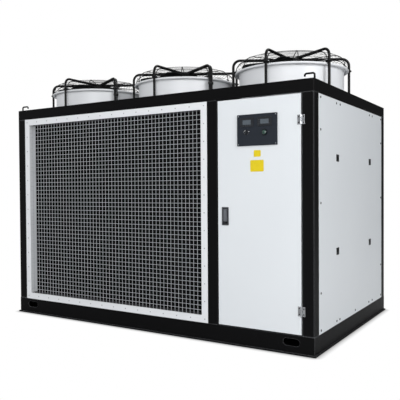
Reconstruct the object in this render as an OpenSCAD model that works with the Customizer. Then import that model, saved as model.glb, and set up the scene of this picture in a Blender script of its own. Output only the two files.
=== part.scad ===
// Air cooled water chiller: a black steel frame with white panels, a mesh grille over
// the condenser coil, a control cabinet door and a row of fans on the roof.
// Origin on the floor at the middle of the frame; X to the right, Y to the back, Z up.

/* [Frame] */
// Clear width of the bay that holds the condenser grille
grille_bay_w = 1790; // [1500:10:2200]
// Clear width of the bay that holds the cabinet door
door_bay_w = 600; // [520:10:760]
// Depth from the front face to the rear face
frame_d = 1610; // [1400:10:1900]
// Height from the floor to the top of the roof
frame_h = 1700; // [1560:10:2000]
// Side of the square posts
post_w = 80; // [70:1:100]
// Rounding of the posts' long edges
post_r = 5; // [2:1:10]

/* [Base] */
// Height of the base rails
rail_h = 120; // [100:1:160]
// Steel thickness of the base rails
rail_t = 6; // [4:1:10]
// Thickness of the bottom flange and its outer lip
lip_t = 10; // [6:1:14]
// How far the lip stands out of the frame
lip_out = 10; // [5:1:20]
// Length of a lifting slot
slot_w = 112; // [90:1:140]
// Height of a lifting slot
slot_h = 46; // [36:1:60]
// Height of the slots' middle above the floor
slot_z = 75; // [60:1:80]
// Distance from the frame's end to a slot's middle
slot_from_end = 153; // [145:1:300]
// Diameter of the floor anchor holes
anchor_d = 14; // [10:1:18]
// Distance of the anchor holes from the frame's outer faces
anchor_inset = 40; // [25:1:55]

/* [Roof] */
// Height of the roof's folded skirt
roof_skirt = 80; // [60:1:110]
// Thickness of the roof's steel sheet
roof_t = 3; // [2:0.5:5]
// Gap between the roof's deck sheets
deck_gap = 2; // [1:0.5:5]
// Outer width of a lifting hook
hook_w = 76; // [70:1:110]
// Height of a lifting hook above the roof
hook_h = 42; // [42:1:80]
// Diameter of the hooks' bar
hook_d = 12; // [10:1:16]
// Length of a hook's straight tip
hook_tip = 5; // [3:1:10]
// Gap from a hook to the roof's end
hook_inset = 5; // [3:1:20]

/* [Grille] */
// Width of the grille frame's border
grille_border = 50; // [35:1:70]
// Thickness of the grille frame's sheet
grille_t = 3; // [2:0.5:5]
// Depth from the front face to the coil
recess_d = 69; // [50:1:78]
// Thickness of the mesh wires
wire_t = 4; // [3:0.5:6]
// Spacing of the mesh wires
mesh_pitch = 32; // [25:1:50]

/* [Coil] */
// Thickness of the condenser coil
coil_t = 90; // [60:1:120]
// Thickness of the coil's end plates
coil_plate_t = 4; // [2:1:8]
// How far the end plates stand out behind the coil
coil_plate_out = 12; // [5:1:25]
// Spacing of the coil's fins
fin_pitch = 12; // [8:1:20]
// Thickness of a fin
fin_t = 1.5; // [1:0.5:3]
// How far the fins stand out of the coil's core
fin_d = 6; // [4:1:12]

/* [Panels] */
// Thickness of the closing panels
panel_t = 25; // [18:1:40]
// Gap at the sides and top of a panel
panel_gap = 2; // [1:0.5:5]
// Thickness of the cabinet and partition sheets
sheet_t = 3; // [2:0.5:5]
// Side of a square panel latch
latch_w = 47; // [38:1:60]
// Height of the lower latches above the panel's foot
latch_low = 490; // [350:10:600]
// Distance of the upper latches below the panel's top
latch_drop = 388; // [250:2:500]
// Distance of the end panels' latches from the panel's sides
end_latch_inset = 346; // [150:2:500]
// Distance of the rear panels' latches from the panel's sides
rear_latch_inset = 130; // [80:2:200]

/* [Water sockets] */
// Bore of a water socket
socket_bore = 54; // [40:1:60]
// Outer diameter of a water socket
socket_d = 76; // [70:1:100]
// Diameter of a socket's flange
socket_flange_d = 110; // [110:1:140]
// Height of the lower socket above the floor
socket_low = 320; // [250:5:400]
// Distance between the two sockets
socket_pitch = 200; // [150:5:300]

/* [Cabinet] */
// Depth of the control cabinet behind the front face
cabinet_d = 205; // [160:1:230]
// Distance of the mounting plate from the cabinet's back
plate_standoff = 15; // [8:1:30]
// Margin around the mounting plate
plate_margin = 40; // [20:1:80]

/* [Door] */
// Gap all round the door
door_gap = 6; // [5.5:0.5:10]
// Depth of the door's folded pan
door_t = 25; // [20:1:40]
// Thickness of the door's sheet
door_sheet = 2; // [1.5:0.5:4]
// Height of a hinge
hinge_h = 60; // [45:3:90]
// Width of a hinge leaf from the pin
hinge_leaf_w = 24; // [18:1:34]
// Thickness of a hinge leaf
hinge_t = 3; // [2:0.5:4]
// Radius of a hinge knuckle
knuckle_r = 6; // [5:0.5:9]
// Radius of a hinge pin
pin_r = 3; // [2:0.5:4]
// Distance of the lower hinge's middle above the bay's foot
hinge_rise = 153; // [100:1:300]
// Distance of the upper hinge's middle below the bay's top
hinge_drop = 167; // [100:1:300]

/* [Control panel] */
// Width of the control panel
fascia_w = 284; // [270:1:330]
// Height of the control panel
fascia_h = 202; // [195:1:240]
// Thickness of the control panel
fascia_t = 8; // [7:1:14]
// Distance of the panel from the door's free edge
fascia_inset = 150; // [110:1:160]
// Distance of the panel's top below the bay's top
fascia_drop = 111; // [90:1:300]
// Width of a controller
controller_w = 100; // [90:1:104]
// Height of a controller
controller_h = 58; // [50:1:62]
// Thickness of a controller's bezel
controller_t = 4; // [3.5:0.5:7]
// Width of a display
display_w = 58; // [48:1:64]
// Height of a display
display_h = 30; // [24:1:36]
// Diameter of the selector knob
knob_d = 30; // [24:1:36]
// Height of the selector knob
knob_h = 18; // [14:1:26]
// Diameter of the push button
button_d = 28; // [22:1:32]
// Travel of the push button
button_travel = 4; // [2:0.5:4]

/* [Handle] */
// Width of the handle's housing
handle_w = 50; // [44:1:60]
// Height of the handle's housing
handle_h = 121; // [110:1:140]
// Distance of the housing from the door's free edge
handle_inset = 30; // [20:1:60]
// Distance of the housing's lower edge below the bay's middle
handle_drop = 80; // [0:1:200]
// Depth of the dish behind the door's face
dish_depth = 14; // [12:0.5:18]
// Width of the lever
lever_w = 24; // [18:1:27]
// Radius of the lever's pivot pin
lever_pin_r = 3; // [2:0.5:4]

/* [Fans] */
// Radius of the fan throat
throat_r = 370; // [330:1:378]
// Gap from the throat to the frame's end
fan_end_gap = 25; // [15:1:30]
// Distance of the fan axes from the front face
fan_setback = 575; // [540:1:640]
// Height of a shroud above the roof
shroud_h = 165; // [155:1:200]
// Thickness of a shroud's sheet
shroud_t = 3; // [2:0.5:5]
// Radius of the bell mouth's curve
bell_r = 27; // [20:1:30]
// Radius of the rolled rim
roll_r = 8; // [6:0.5:9]
// Width of a shroud's foot flange
foot_flange = 18; // [12:1:20]
// Gap from the blade tips to the throat
tip_gap = 12; // [8:1:20]
// Number of blades on a rotor
blade_count = 6; // [4:1:7]
// Width of a blade in plan
blade_chord = 130; // [100:1:140]
// How far a blade's edges bow forwards
blade_sweep = 40; // [25:1:50]
// Thickness of a blade
blade_t = 5; // [4:0.5:8]
// Pitch of the blades
blade_pitch = 23; // [18:1:25]
// Radius of the blades' camber
blade_camber_r = 420; // [350:5:600]
// Radius of a rotor's hub
hub_r = 95; // [80:1:110]
// Height of a rotor's hub
hub_h = 85; // [82:1:100]
// Height of a rotor's underside above the roof
rotor_z = 132; // [110:1:136]
// Rest angle of the first blade
rotor_rest = 35; // [0:5:55]
// Radius of a motor
motor_r = 85; // [70:1:95]
// Radius of a motor shaft
shaft_r = 14; // [10:1:18]
// Length of the shaft inside the hub
shaft_l = 55; // [40:1:60]

/* [Guards] */
// Height of a guard's top above the roof
guard_h = 268; // [262:1:300]
// Diameter of the guard's rods
rod_d = 16; // [12:1:18]
// Bend radius of the guard's legs
leg_bend = 50; // [30:1:60]
// Gap between a leg and the shroud's rim
leg_gap = 3; // [1:0.5:8]
// Number of legs on a guard
leg_count = 6; // [4:1:8]
// Diameter of a leg's foot
foot_d = 40; // [24:1:44]
// Thickness of a leg's foot
foot_t = 5; // [3:1:8]
// Spacing of the guard's rings
ring_pitch = 25; // [20:1:40]
// Thickness of the guard's rings
ring_t = 3; // [2.5:0.5:6]
// Thickness of the guard's ribs
rib_t = 6; // [5:0.5:8]
// Curve radius of the ribs at the guard's edge
rib_bend = 80; // [60:1:82]
// Radius of the guard's middle flange
flange_r = 100; // [96:1:115]
// Thickness of the guard's middle flange
flange_t = 16; // [10:1:20]

/* [Hidden] */
$fn = 48;
// Running clearance of pins and shafts in their bores
running = 0.05;
// Clearance of pieces that seat in a cut-out
seat_gap = 0.2;
// Gap between hinge knuckles and under knobs
knuckle_gap = 0.5;
// Overlap of a cutter past the faces it cuts
cut = 1;

frame_l = grille_bay_w + door_bay_w + 3 * post_w;
half_l = frame_l / 2;
half_d = frame_d / 2;
front_y = -half_d;
grille_x = -half_l + post_w;
mid_x = grille_x + grille_bay_w;
door_bay_x = mid_x + post_w;
door_bay_end = door_bay_x + door_bay_w;
rear_mid_x = grille_x + (grille_bay_w - post_w) / 2;
bay_top = frame_h - roof_skirt;
bay_h = bay_top - rail_h;

open_w = grille_bay_w - 2 * grille_border;
open_h = bay_h - 2 * grille_border;
open_x = grille_x + grille_border;
open_z = rail_h + grille_border;

end_panel_w = frame_d - 2 * post_w;
latch_high = bay_h - latch_drop;
latch_body = latch_w - 8;
latch_face_t = 3;
socket_len = 100;
socket_x = door_bay_x + door_bay_w / 2;

door_w = door_bay_w - 2 * door_gap;
door_h = bay_h - 2 * door_gap;
door_x = door_bay_x + door_gap;
door_z = rail_h + door_gap;
cabinet_y = front_y + door_t + door_gap;
hinge_x = door_bay_end - door_gap / 2;
hinge_y = front_y - knuckle_r;
hinge_third = hinge_h / 3;
hinge_low = rail_h + hinge_rise;
hinge_high = bay_top - hinge_drop;

fascia_x = door_x + fascia_inset;
fascia_z = bay_top - fascia_drop - fascia_h;
fascia_y = front_y - fascia_t;
controller_z = fascia_z + fascia_h - 22 - controller_h;
controller_x = [fascia_x + 22, fascia_x + fascia_w - 36 - controller_w];
display_t = 2.5;
display_sink = 2;
knob_x = fascia_x + 68;
knob_z = fascia_z + 88;
knob_shaft_r = 4;
button_x = fascia_x + 197;
button_z = fascia_z + 82;
button_stem_r = 6;
collar_w = 4;
collar_h = 6;

handle_x = door_x + handle_inset;
handle_z = rail_h + bay_h / 2 - handle_drop;
housing_lip = 4;
housing_wall = 4;
lever_t = 10;
lever_rise = 3;
lever_h = handle_h - 44;
pivot_x = handle_x + handle_w / 2;
pivot_y = front_y + 4;
pivot_z = handle_z + handle_h - 18;

fan_pitch = half_l - throat_r - fan_end_gap;
fan_y = front_y + fan_setback;
deck_hole_r = throat_r + foot_flange / 2;
rim_r = throat_r + bell_r + roll_r;
blade_r = throat_r - tip_gap;
partition_y = fan_y + rim_r + foot_d;
arm_z = guard_h - rod_d / 2;
flange_z = arm_z - rod_d / 4 - flange_t;
rib_top = arm_z - rod_d / 2 + 1;
rib_out = rim_r - roll_r + rib_t / 2;
rib_flat = rib_out - rib_bend;
leg_r = rim_r + leg_gap + rod_d / 2;
motor_gap = 6;
hub_edge = 15;
blade_lift = 19;
flat_rings = round((rib_flat - flange_r) / ring_pitch);
arc_rings = ceil(rib_bend * PI / 2 / ring_pitch);

FANS = ["left", "middle", "right"];

frame_black = "#1b1c1e";
panel_white = "#dfe3e6";
wire_grey = "#a9adb2";
coil_dark = "#2a2c2f";
sheet_zinc = "#b9bdbf";
fascia_slate = "#3a3e48";
hinge_zinc = "#c6c9cb";
plastic_black = "#16171a";
fan_black = "#141516";

// A block from its lowest corner and its size
module block(corner, size) {
  translate(corner) cube(size);
}

// A rectangle with rounded corners, lowest corner at the origin
module rounded_rect(w, h, r) {
  translate([r, 0]) square([w - 2 * r, h]);
  translate([0, r]) square([w, h - 2 * r]);
  for (x = [r, w - r], y = [r, h - r]) translate([x, y]) circle(r);
}

// A quarter turn of round bar from straight up to level, bending towards -X
module bar_bend(r, d) {
  rotate([90, 0, 0]) rotate_extrude(angle = 90) translate([r, 0]) circle(d = d);
}

// A flat upright slot outline turned to face along Y
module slot_cut(w, h, depth) {
  rotate([-90, 0, 0]) linear_extrude(depth) {
    square([w - h, h], center = true);
    for (s = [-1, 1]) translate([s * (w - h) / 2, 0]) circle(d = h);
  }
}

// Base

module side_rail() {
  difference() {
    union() {
      block([-half_l - lip_out, front_y - lip_out, 0], [frame_l + 2 * lip_out, post_w + lip_out, lip_t]);
      block([-half_l, front_y, 0], [frame_l, rail_t, rail_h]);
      block([-half_l, front_y, rail_h - rail_t], [frame_l, post_w, rail_t]);
      for (x = [-half_l, half_l - rail_t]) block([x, front_y, 0], [rail_t, post_w, rail_h]);
    }
    for (s = [-1, 1]) {
      translate([s * (half_l - slot_from_end), front_y - cut, slot_z])
        slot_cut(slot_w, slot_h, rail_t + 2 * cut);
      translate([s * (half_l - anchor_inset), front_y + anchor_inset, -cut])
        cylinder(d = anchor_d, h = lip_t + 2 * cut);
    }
  }
}

module base_side_rails() {
  color(frame_black) for (m = [0, 1]) mirror([0, m, 0]) side_rail();
}

module end_rail() {
  len_y = frame_d - 2 * post_w;
  start_y = front_y + post_w;
  block([half_l - post_w, start_y, 0], [post_w + lip_out, len_y, lip_t]);
  block([half_l - rail_t, start_y, 0], [rail_t, len_y, rail_h]);
  block([half_l - post_w, start_y, rail_h - rail_t], [post_w, len_y, rail_t]);
}

module base_end_rails() {
  color(frame_black) for (m = [0, 1]) mirror([m, 0, 0]) end_rail();
}

module base_pan() {
  color(sheet_zinc)
    block([-half_l + post_w, front_y + post_w, rail_h - rail_t],
          [frame_l - 2 * post_w, frame_d - 2 * post_w, rail_t]);
}

// Frame

// Space inside the roof's edge, with an overlap at its foot and top
module roof_cavity(past) {
  block([-half_l + roof_t, front_y + roof_t, bay_top - past],
        [frame_l - 2 * roof_t, frame_d - 2 * roof_t, roof_skirt - roof_t + 2 * past]);
}

module post(x, y) {
  translate([x, y, rail_h]) linear_extrude(bay_h) rounded_rect(post_w, post_w, post_r);
  intersection() {
    block([x, y, bay_top], [post_w, post_w, roof_skirt]);
    roof_cavity(0);
  }
}

module corner_posts() {
  color(frame_black)
    for (x = [-half_l, half_l - post_w], y = [front_y, half_d - post_w]) post(x, y);
}

module middle_posts() {
  color(frame_black) {
    post(mid_x, front_y);
    for (x = [rear_mid_x, mid_x]) post(x, half_d - post_w);
  }
}

// Plan of the roof
module roof_plan() {
  translate([-half_l, front_y]) rounded_rect(frame_l, frame_d, post_r);
}

module roof_edge() {
  color(frame_black)
    difference() {
      translate([0, 0, bay_top]) linear_extrude(roof_skirt - roof_t) roof_plan();
      roof_cavity(cut);
    }
}

// Three sheets on the roof's edge, one under each fan
module roof_decks() {
  color(frame_black)
    translate([0, 0, frame_h - roof_t]) difference() {
      linear_extrude(roof_t) roof_plan();
      for (s = [-1, 1])
        block([(s * fan_pitch - deck_gap) / 2, front_y - cut, -cut],
              [deck_gap, frame_d + 2 * cut, roof_t + 2 * cut]);
      for (i = [-1, 0, 1])
        translate([i * fan_pitch, fan_y, -cut]) cylinder(r = deck_hole_r, h = roof_t + 2 * cut);
    }
}

// A bar that stands near the roof's end and hooks over towards the middle
module lifting_hook() {
  bend = hook_d;
  top = hook_h - hook_d / 2;
  half = (hook_w - hook_d) / 2;
  translate([half, 0, 0]) cylinder(d = hook_d, h = top - bend);
  for (m = [0, 1]) mirror([m, 0, 0]) translate([half - bend, 0, top - bend]) bar_bend(bend, hook_d);
  translate([bend - half, 0, top]) rotate([0, 90, 0]) cylinder(d = hook_d, h = 2 * (half - bend));
  translate([-half, 0, top - bend - hook_tip]) cylinder(d = hook_d, h = hook_tip);
}

module lifting_hooks() {
  color(frame_black)
    for (m = [0, 1])
      mirror([m, 0, 0])
        translate([half_l - hook_w / 2 - hook_inset, front_y + post_w / 2, frame_h]) lifting_hook();
}

// Condenser side

// The border's angle strips: uprights over the bay's whole height, rails between them
module grille_border_uprights() {
  middle = grille_x + grille_bay_w / 2;
  color(panel_white)
    for (m = [0, 1]) translate([middle, 0, 0]) mirror([m, 0, 0]) translate([-middle, 0, 0]) {
      block([grille_x, front_y, rail_h], [grille_border, grille_t, bay_h]);
      block([open_x - grille_t, front_y, open_z - grille_t], [grille_t, recess_d, open_h + 2 * grille_t]);
    }
}

module grille_border_rails() {
  color(panel_white) {
    for (z = [rail_h, open_z + open_h]) block([open_x, front_y, z], [open_w, grille_t, grille_border]);
    for (z = [open_z - grille_t, open_z + open_h])
      block([open_x, front_y, z], [open_w, recess_d, grille_t]);
  }
}

// Offsets of evenly spaced wires across a span, with none at its edges
function wire_places(span) =
  let (n = round(span / mesh_pitch))
  [for (i = [1 : n - 1]) i * (span - wire_t) / n];

module mesh_uprights() {
  y = front_y + grille_t;
  color(wire_grey)
    for (x = wire_places(open_w)) block([open_x + x, y, open_z], [wire_t, wire_t, open_h]);
}

module mesh_crosswires() {
  y = front_y + grille_t + wire_t;
  color(wire_grey)
    for (z = wire_places(open_h)) block([open_x, y, open_z + z], [open_w, wire_t, wire_t]);
}

// Plan of the coil: a core with a comb of fins on its front
module coil_plan() {
  gaps = floor((grille_bay_w - fin_t) / fin_pitch);
  step = (grille_bay_w - fin_t) / gaps;
  fin = [[0, fin_d], [0, 0], [fin_t, 0], [fin_t, fin_d]];
  comb = [for (i = [0 : gaps], corner = fin) [i * step, 0] + corner];
  polygon(concat(comb, [[grille_bay_w, coil_t], [0, coil_t]]));
}

module condenser_coil() {
  color(coil_dark) {
    translate([grille_x, front_y + recess_d, rail_h]) linear_extrude(bay_h) coil_plan();
    for (x = [grille_x, mid_x - coil_plate_t])
      block([x, front_y + recess_d, rail_h], [coil_plate_t, coil_t + coil_plate_out, bay_h]);
  }
}

module plenum_partition() {
  color(sheet_zinc)
    block([-half_l + panel_t, partition_y, rail_h],
          [frame_l - 2 * panel_t, sheet_t, frame_h - roof_t - rail_h]);
}

// Closing panels, built facing -Y with the foot's middle at the origin

function latch_spots(w, inset) =
  [for (x = [-w / 2 + inset, w / 2 - inset], z = [latch_low, latch_high]) [x, 0, z]];

module panel(w, inset) {
  difference() {
    translate([-w / 2 + panel_gap, panel_t, 0]) rotate([90, 0, 0])
      linear_extrude(panel_t) rounded_rect(w - 2 * panel_gap, bay_h - panel_gap, panel_gap);
    for (p = latch_spots(w, inset))
      translate(p)
        block([-latch_body / 2, -cut, -latch_body / 2], [latch_body, panel_t + 2 * cut, latch_body]);
  }
}

module latch() {
  body = latch_body - 2 * seat_gap;
  difference() {
    union() {
      translate([-latch_w / 2, 0, -latch_w / 2]) rotate([90, 0, 0])
        linear_extrude(latch_face_t) rounded_rect(latch_w, latch_w, latch_face_t);
      block([-body / 2, 0, -body / 2], [body, panel_t, body]);
    }
    translate([0, -latch_face_t - cut, 0]) rotate([-90, 0, 0])
      cylinder(d = latch_body / 2, h = latch_face_t + cut);
  }
}

module latches(w, inset) {
  for (p = latch_spots(w, inset)) translate(p) latch();
}

module on_right_end() {
  translate([half_l, 0, rail_h]) rotate([0, 0, 90]) children();
}

module on_left_end() {
  translate([-half_l, 0, rail_h]) rotate([0, 0, -90]) children();
}

// Rear bays as [start, width], left to right
rear_bays = [
  [grille_x, rear_mid_x - grille_x],
  [rear_mid_x + post_w, mid_x - rear_mid_x - post_w],
  [door_bay_x, door_bay_w]
];

module on_rear(bay) {
  translate([bay[0] + bay[1] / 2, half_d, rail_h]) rotate([0, 0, 180]) children();
}

module end_panels() {
  color(panel_white) {
    on_right_end() panel(end_panel_w, end_latch_inset);
    on_left_end() panel(end_panel_w, end_latch_inset);
  }
}

module at_sockets() {
  for (i = [0, 1])
    translate([socket_x, half_d, socket_low + i * socket_pitch]) rotate([-90, 0, 0]) children();
}

module rear_panels() {
  color(panel_white)
    difference() {
      for (bay = rear_bays) on_rear(bay) panel(bay[1], rear_latch_inset);
      at_sockets() translate([0, 0, -panel_t - cut])
        cylinder(d = socket_d + 2 * seat_gap, h = panel_t + 2 * cut);
    }
}

module panel_latches() {
  color(plastic_black) {
    on_right_end() latches(end_panel_w, end_latch_inset);
    on_left_end() latches(end_panel_w, end_latch_inset);
    for (bay = rear_bays) on_rear(bay) latches(bay[1], rear_latch_inset);
  }
}

module water_sockets() {
  flange_t2 = lip_out - 2;
  color(hinge_zinc)
    at_sockets() difference() {
      union() {
        translate([0, 0, flange_t2 - socket_len]) cylinder(d = socket_d, h = socket_len);
        cylinder(d = socket_flange_d, h = flange_t2);
      }
      translate([0, 0, -socket_len - cut]) cylinder(d = socket_bore, h = 2 * socket_len);
    }
}

// Control cabinet

module control_cabinet() {
  deep = front_y + cabinet_d - cabinet_y;
  color(sheet_zinc)
    difference() {
      block([door_bay_x, cabinet_y, rail_h], [door_bay_w, deep, bay_h]);
      block([door_bay_x + sheet_t, cabinet_y - cut, rail_h + sheet_t],
            [door_bay_w - 2 * sheet_t, deep - sheet_t + cut, bay_h - 2 * sheet_t]);
    }
}

module mounting_plate() {
  back_y = front_y + cabinet_d - sheet_t;
  plate_x = door_bay_x + plate_margin;
  plate_z = rail_h + plate_margin;
  plate_w = door_bay_w - 2 * plate_margin;
  plate_h = bay_h - 2 * plate_margin;
  stud_inset = 25;
  color(hinge_zinc) {
    block([plate_x, back_y - plate_standoff - sheet_t, plate_z], [plate_w, sheet_t, plate_h]);
    for (x = [stud_inset, plate_w - stud_inset], z = [stud_inset, plate_h - stud_inset])
      translate([plate_x + x, back_y - plate_standoff, plate_z + z]) rotate([-90, 0, 0])
        cylinder(d = 12, h = plate_standoff);
  }
}

// Hinges, with the pin on the post's leaves

module at_hinges() {
  for (z = [hinge_low, hinge_high]) translate([hinge_x, hinge_y, z - hinge_h / 2]) children();
}

module hinge_post_leaves() {
  near = knuckle_r + knuckle_gap;
  color(hinge_zinc)
    at_hinges() {
      block([near, knuckle_r - hinge_t, 0], [hinge_leaf_w - near, hinge_t, hinge_h]);
      for (z = [0, 2 * hinge_third + knuckle_gap]) translate([0, 0, z]) {
        cylinder(r = knuckle_r, h = hinge_third - knuckle_gap);
        block([0, knuckle_r - hinge_t, 0], [near, hinge_t, hinge_third - knuckle_gap]);
      }
      cylinder(r = pin_r, h = hinge_h);
    }
}

module hinge_door_leaves() {
  near = knuckle_r + knuckle_gap;
  color(hinge_zinc)
    at_hinges() difference() {
      union() {
        block([-hinge_leaf_w, knuckle_r - hinge_t, 0], [hinge_leaf_w - near, hinge_t, hinge_h]);
        translate([0, 0, hinge_third]) {
          cylinder(r = knuckle_r, h = hinge_third);
          block([-near, knuckle_r - hinge_t, 0], [near, hinge_t, hinge_third]);
        }
      }
      translate([0, 0, -cut]) cylinder(r = pin_r + running, h = hinge_h + 2 * cut);
    }
}

// Door and what it carries

module handle_body(grow) {
  in = housing_lip - grow;
  block([handle_x + in, front_y, handle_z + in],
        [handle_w - 2 * in, dish_depth + housing_wall, handle_h - 2 * in]);
}

module door() {
  color(panel_white)
    difference() {
      block([door_x, front_y, door_z], [door_w, door_t, door_h]);
      block([door_x + door_sheet, front_y + door_sheet, door_z + door_sheet],
            [door_w - 2 * door_sheet, door_t, door_h - 2 * door_sheet]);
      translate([0, -cut, 0]) handle_body(seat_gap);
    }
}

module control_panel() {
  color(fascia_slate)
    difference() {
      union() {
        translate([fascia_x, front_y, fascia_z]) rotate([90, 0, 0])
          linear_extrude(fascia_t) rounded_rect(fascia_w, fascia_h, 4);
        translate([button_x, fascia_y, button_z]) rotate([90, 0, 0])
          cylinder(d = button_d + 2 * (collar_w + knuckle_gap), h = collar_h);
      }
      translate([button_x, fascia_y, button_z]) rotate([90, 0, 0])
        cylinder(d = button_d + 2 * knuckle_gap, h = collar_h + cut);
      translate([button_x, front_y + cut, button_z]) rotate([90, 0, 0])
        cylinder(r = button_stem_r + running, h = fascia_t + 2 * cut);
      translate([knob_x, front_y + cut, knob_z]) rotate([90, 0, 0])
        cylinder(r = knob_shaft_r + running, h = fascia_t + 2 * cut);
    }
}

// Lowest corner of the display on a controller that starts at x
function display_corner(x) = [
  x + (controller_w - display_w) / 2,
  fascia_y - controller_t,
  controller_z + (controller_h - display_h) / 2
];

module controllers() {
  color(plastic_black)
    for (x = controller_x) difference() {
      translate([x, fascia_y, controller_z]) rotate([90, 0, 0])
        linear_extrude(controller_t) rounded_rect(controller_w, controller_h, 3);
      translate(display_corner(x))
        block([-seat_gap, -cut, -seat_gap],
              [display_w + 2 * seat_gap, display_sink + cut, display_h + 2 * seat_gap]);
    }
}

module displays() {
  color("#6d7480")
    for (x = controller_x) translate(display_corner(x))
      block([0, display_sink - display_t, 0], [display_w, display_t, display_h]);
}

module handle_housing() {
  color(fascia_slate)
    difference() {
      union() {
        translate([handle_x, front_y, handle_z]) rotate([90, 0, 0])
          linear_extrude(housing_lip) rounded_rect(handle_w, handle_h, housing_lip);
        handle_body(0);
      }
      block([handle_x + 2 * housing_wall, front_y - housing_lip - cut, handle_z + 2 * housing_wall],
            [handle_w - 4 * housing_wall, housing_lip + dish_depth + cut, handle_h - 4 * housing_wall]);
      translate([handle_x + housing_lip + cut, pivot_y, pivot_z]) rotate([0, 90, 0])
        cylinder(r = lever_pin_r + running, h = handle_w - 2 * (housing_lip + cut));
    }
}

module handle_lever() {
  pin_l = handle_w - 2 * (housing_lip + cut) - 2 * seat_gap;
  color("#8b8f95") {
    difference() {
      block([pivot_x - lever_w / 2, front_y - housing_lip - lever_rise, pivot_z - lever_h],
            [lever_w, lever_t, lever_h]);
      translate([pivot_x - lever_w / 2 - cut, front_y - housing_lip - lever_rise, pivot_z - lever_h])
        rotate([0, 90, 0]) cylinder(r = lever_rise, h = lever_w + 2 * cut);
    }
    translate([pivot_x - lever_w / 2, pivot_y, pivot_z]) rotate([0, 90, 0]) cylinder(r = 6, h = lever_w);
    block([pivot_x - lever_w / 2, front_y - housing_lip - lever_rise, pivot_z - 6], [lever_w, lever_t, 6]);
    translate([pivot_x - pin_l / 2, pivot_y, pivot_z]) rotate([0, 90, 0])
      cylinder(r = lever_pin_r, h = pin_l);
  }
}

module selector_knob() {
  grip_w = 7;
  base_h = knob_h / 3;
  color(plastic_black)
    translate([knob_x, fascia_y - knuckle_gap, knob_z]) rotate([90, 0, 0]) {
      cylinder(d = knob_d, h = base_h);
      intersection() {
        cylinder(d = knob_d - 2, h = knob_h);
        translate([-grip_w / 2, -knob_d / 2, 0]) cube([grip_w, knob_d, knob_h]);
      }
      translate([0, 0, -fascia_t + knuckle_gap]) cylinder(r = knob_shaft_r, h = fascia_t);
    }
}

module push_button() {
  cap_h = 8;
  lift = button_travel + knuckle_gap;
  color("#3f5a55")
    translate([button_x, fascia_y, button_z]) rotate([90, 0, 0]) {
      translate([0, 0, lift]) cylinder(d = button_d, h = cap_h);
      translate([0, 0, button_travel + knuckle_gap - fascia_t]) cylinder(r = button_stem_r, h = fascia_t);
    }
}

// Fans

module at_fan(i) {
  translate([(i - 1) * fan_pitch, fan_y, frame_h]) children();
}

module fan_shroud(i) {
  bell_z = shroud_h - bell_r;
  color(panel_white) at_fan(i) rotate_extrude($fn = 96) {
    translate([throat_r, 0]) square([shroud_t, bell_z]);
    translate([throat_r, 0]) square([shroud_t + foot_flange, shroud_t]);
    translate([throat_r + bell_r, bell_z]) intersection() {
      difference() {
        circle(bell_r);
        circle(bell_r - shroud_t);
      }
      translate([-bell_r, 0]) square(bell_r);
    }
    translate([throat_r + bell_r, shroud_h - roll_r]) circle(roll_r);
  }
}

// Sickle-shaped plan of a blade that points along X
module blade_plan() {
  span = blade_r - hub_r;
  edge_r = (span * span / 4 + blade_sweep * blade_sweep) / (2 * blade_sweep);
  edge_x = (blade_r + hub_r) / 2;
  edge_y = (blade_sweep + blade_chord) / 2 - edge_r;
  intersection() {
    circle(blade_r);
    translate([hub_r - hub_edge, -blade_r]) square([blade_r, 2 * blade_r]);
    difference() {
      translate([edge_x, edge_y]) circle(edge_r);
      translate([edge_x, edge_y - blade_chord]) circle(edge_r);
    }
  }
}

// Pitched and cambered plate that a blade is cut from, along X
module blade_plate() {
  reach = blade_chord + blade_sweep;
  rotate([90, 0, 90]) linear_extrude(blade_r + cut) rotate(blade_pitch) intersection() {
    translate([0, -blade_camber_r]) difference() {
      circle(blade_camber_r);
      circle(blade_camber_r - blade_t);
    }
    translate([-reach, -reach]) square(2 * reach);
  }
}

module blade() {
  intersection() {
    blade_plate();
    translate([0, 0, -hub_h]) linear_extrude(2 * hub_h) blade_plan();
  }
}

module rotor_hub() {
  rotate_extrude() {
    square([hub_r - hub_edge, hub_h]);
    translate([0, hub_edge]) square([hub_r, hub_h - hub_edge]);
    translate([hub_r - hub_edge, hub_edge]) circle(hub_edge);
  }
}

module fan_rotor(i) {
  color(fan_black) at_fan(i) translate([0, 0, rotor_z]) difference() {
    union() {
      rotor_hub();
      for (k = [0 : blade_count - 1])
        rotate(rotor_rest + k * 360 / blade_count) translate([0, 0, hub_h / 2 + blade_lift]) blade();
    }
    translate([0, 0, hub_h - shaft_l - motor_gap])
      cylinder(r = shaft_r + running, h = shaft_l + 2 * motor_gap);
  }
}

module fan_motor(i) {
  base = rotor_z + hub_h + motor_gap;
  color(fan_black) at_fan(i) {
    translate([0, 0, base]) cylinder(r = motor_r, h = flange_z - base);
    translate([0, 0, base - motor_gap - shaft_l]) cylinder(r = shaft_r, h = shaft_l + 2 * motor_gap);
  }
}

// Outline of a guard rib from the middle flange to the rim, as radius and height
module rib_outline() {
  translate([flange_r - rib_t, rib_top - rib_t]) square([rib_flat - flange_r + rib_t, rib_t]);
  translate([rib_flat, rib_top - rib_bend]) intersection() {
    difference() {
      circle(rib_bend);
      circle(rib_bend - rib_t);
    }
    square(rib_bend);
  }
  translate([rib_out - rib_t, shroud_h]) square([rib_t, rib_top - rib_bend - shroud_h]);
}

module guard_ring(r, z) {
  translate([0, 0, z - ring_t / 2]) difference() {
    cylinder(r = r + ring_t / 2, h = ring_t, $fn = 96);
    translate([0, 0, -cut]) cylinder(r = r - ring_t / 2, h = ring_t + 2 * cut, $fn = 96);
  }
}

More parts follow.
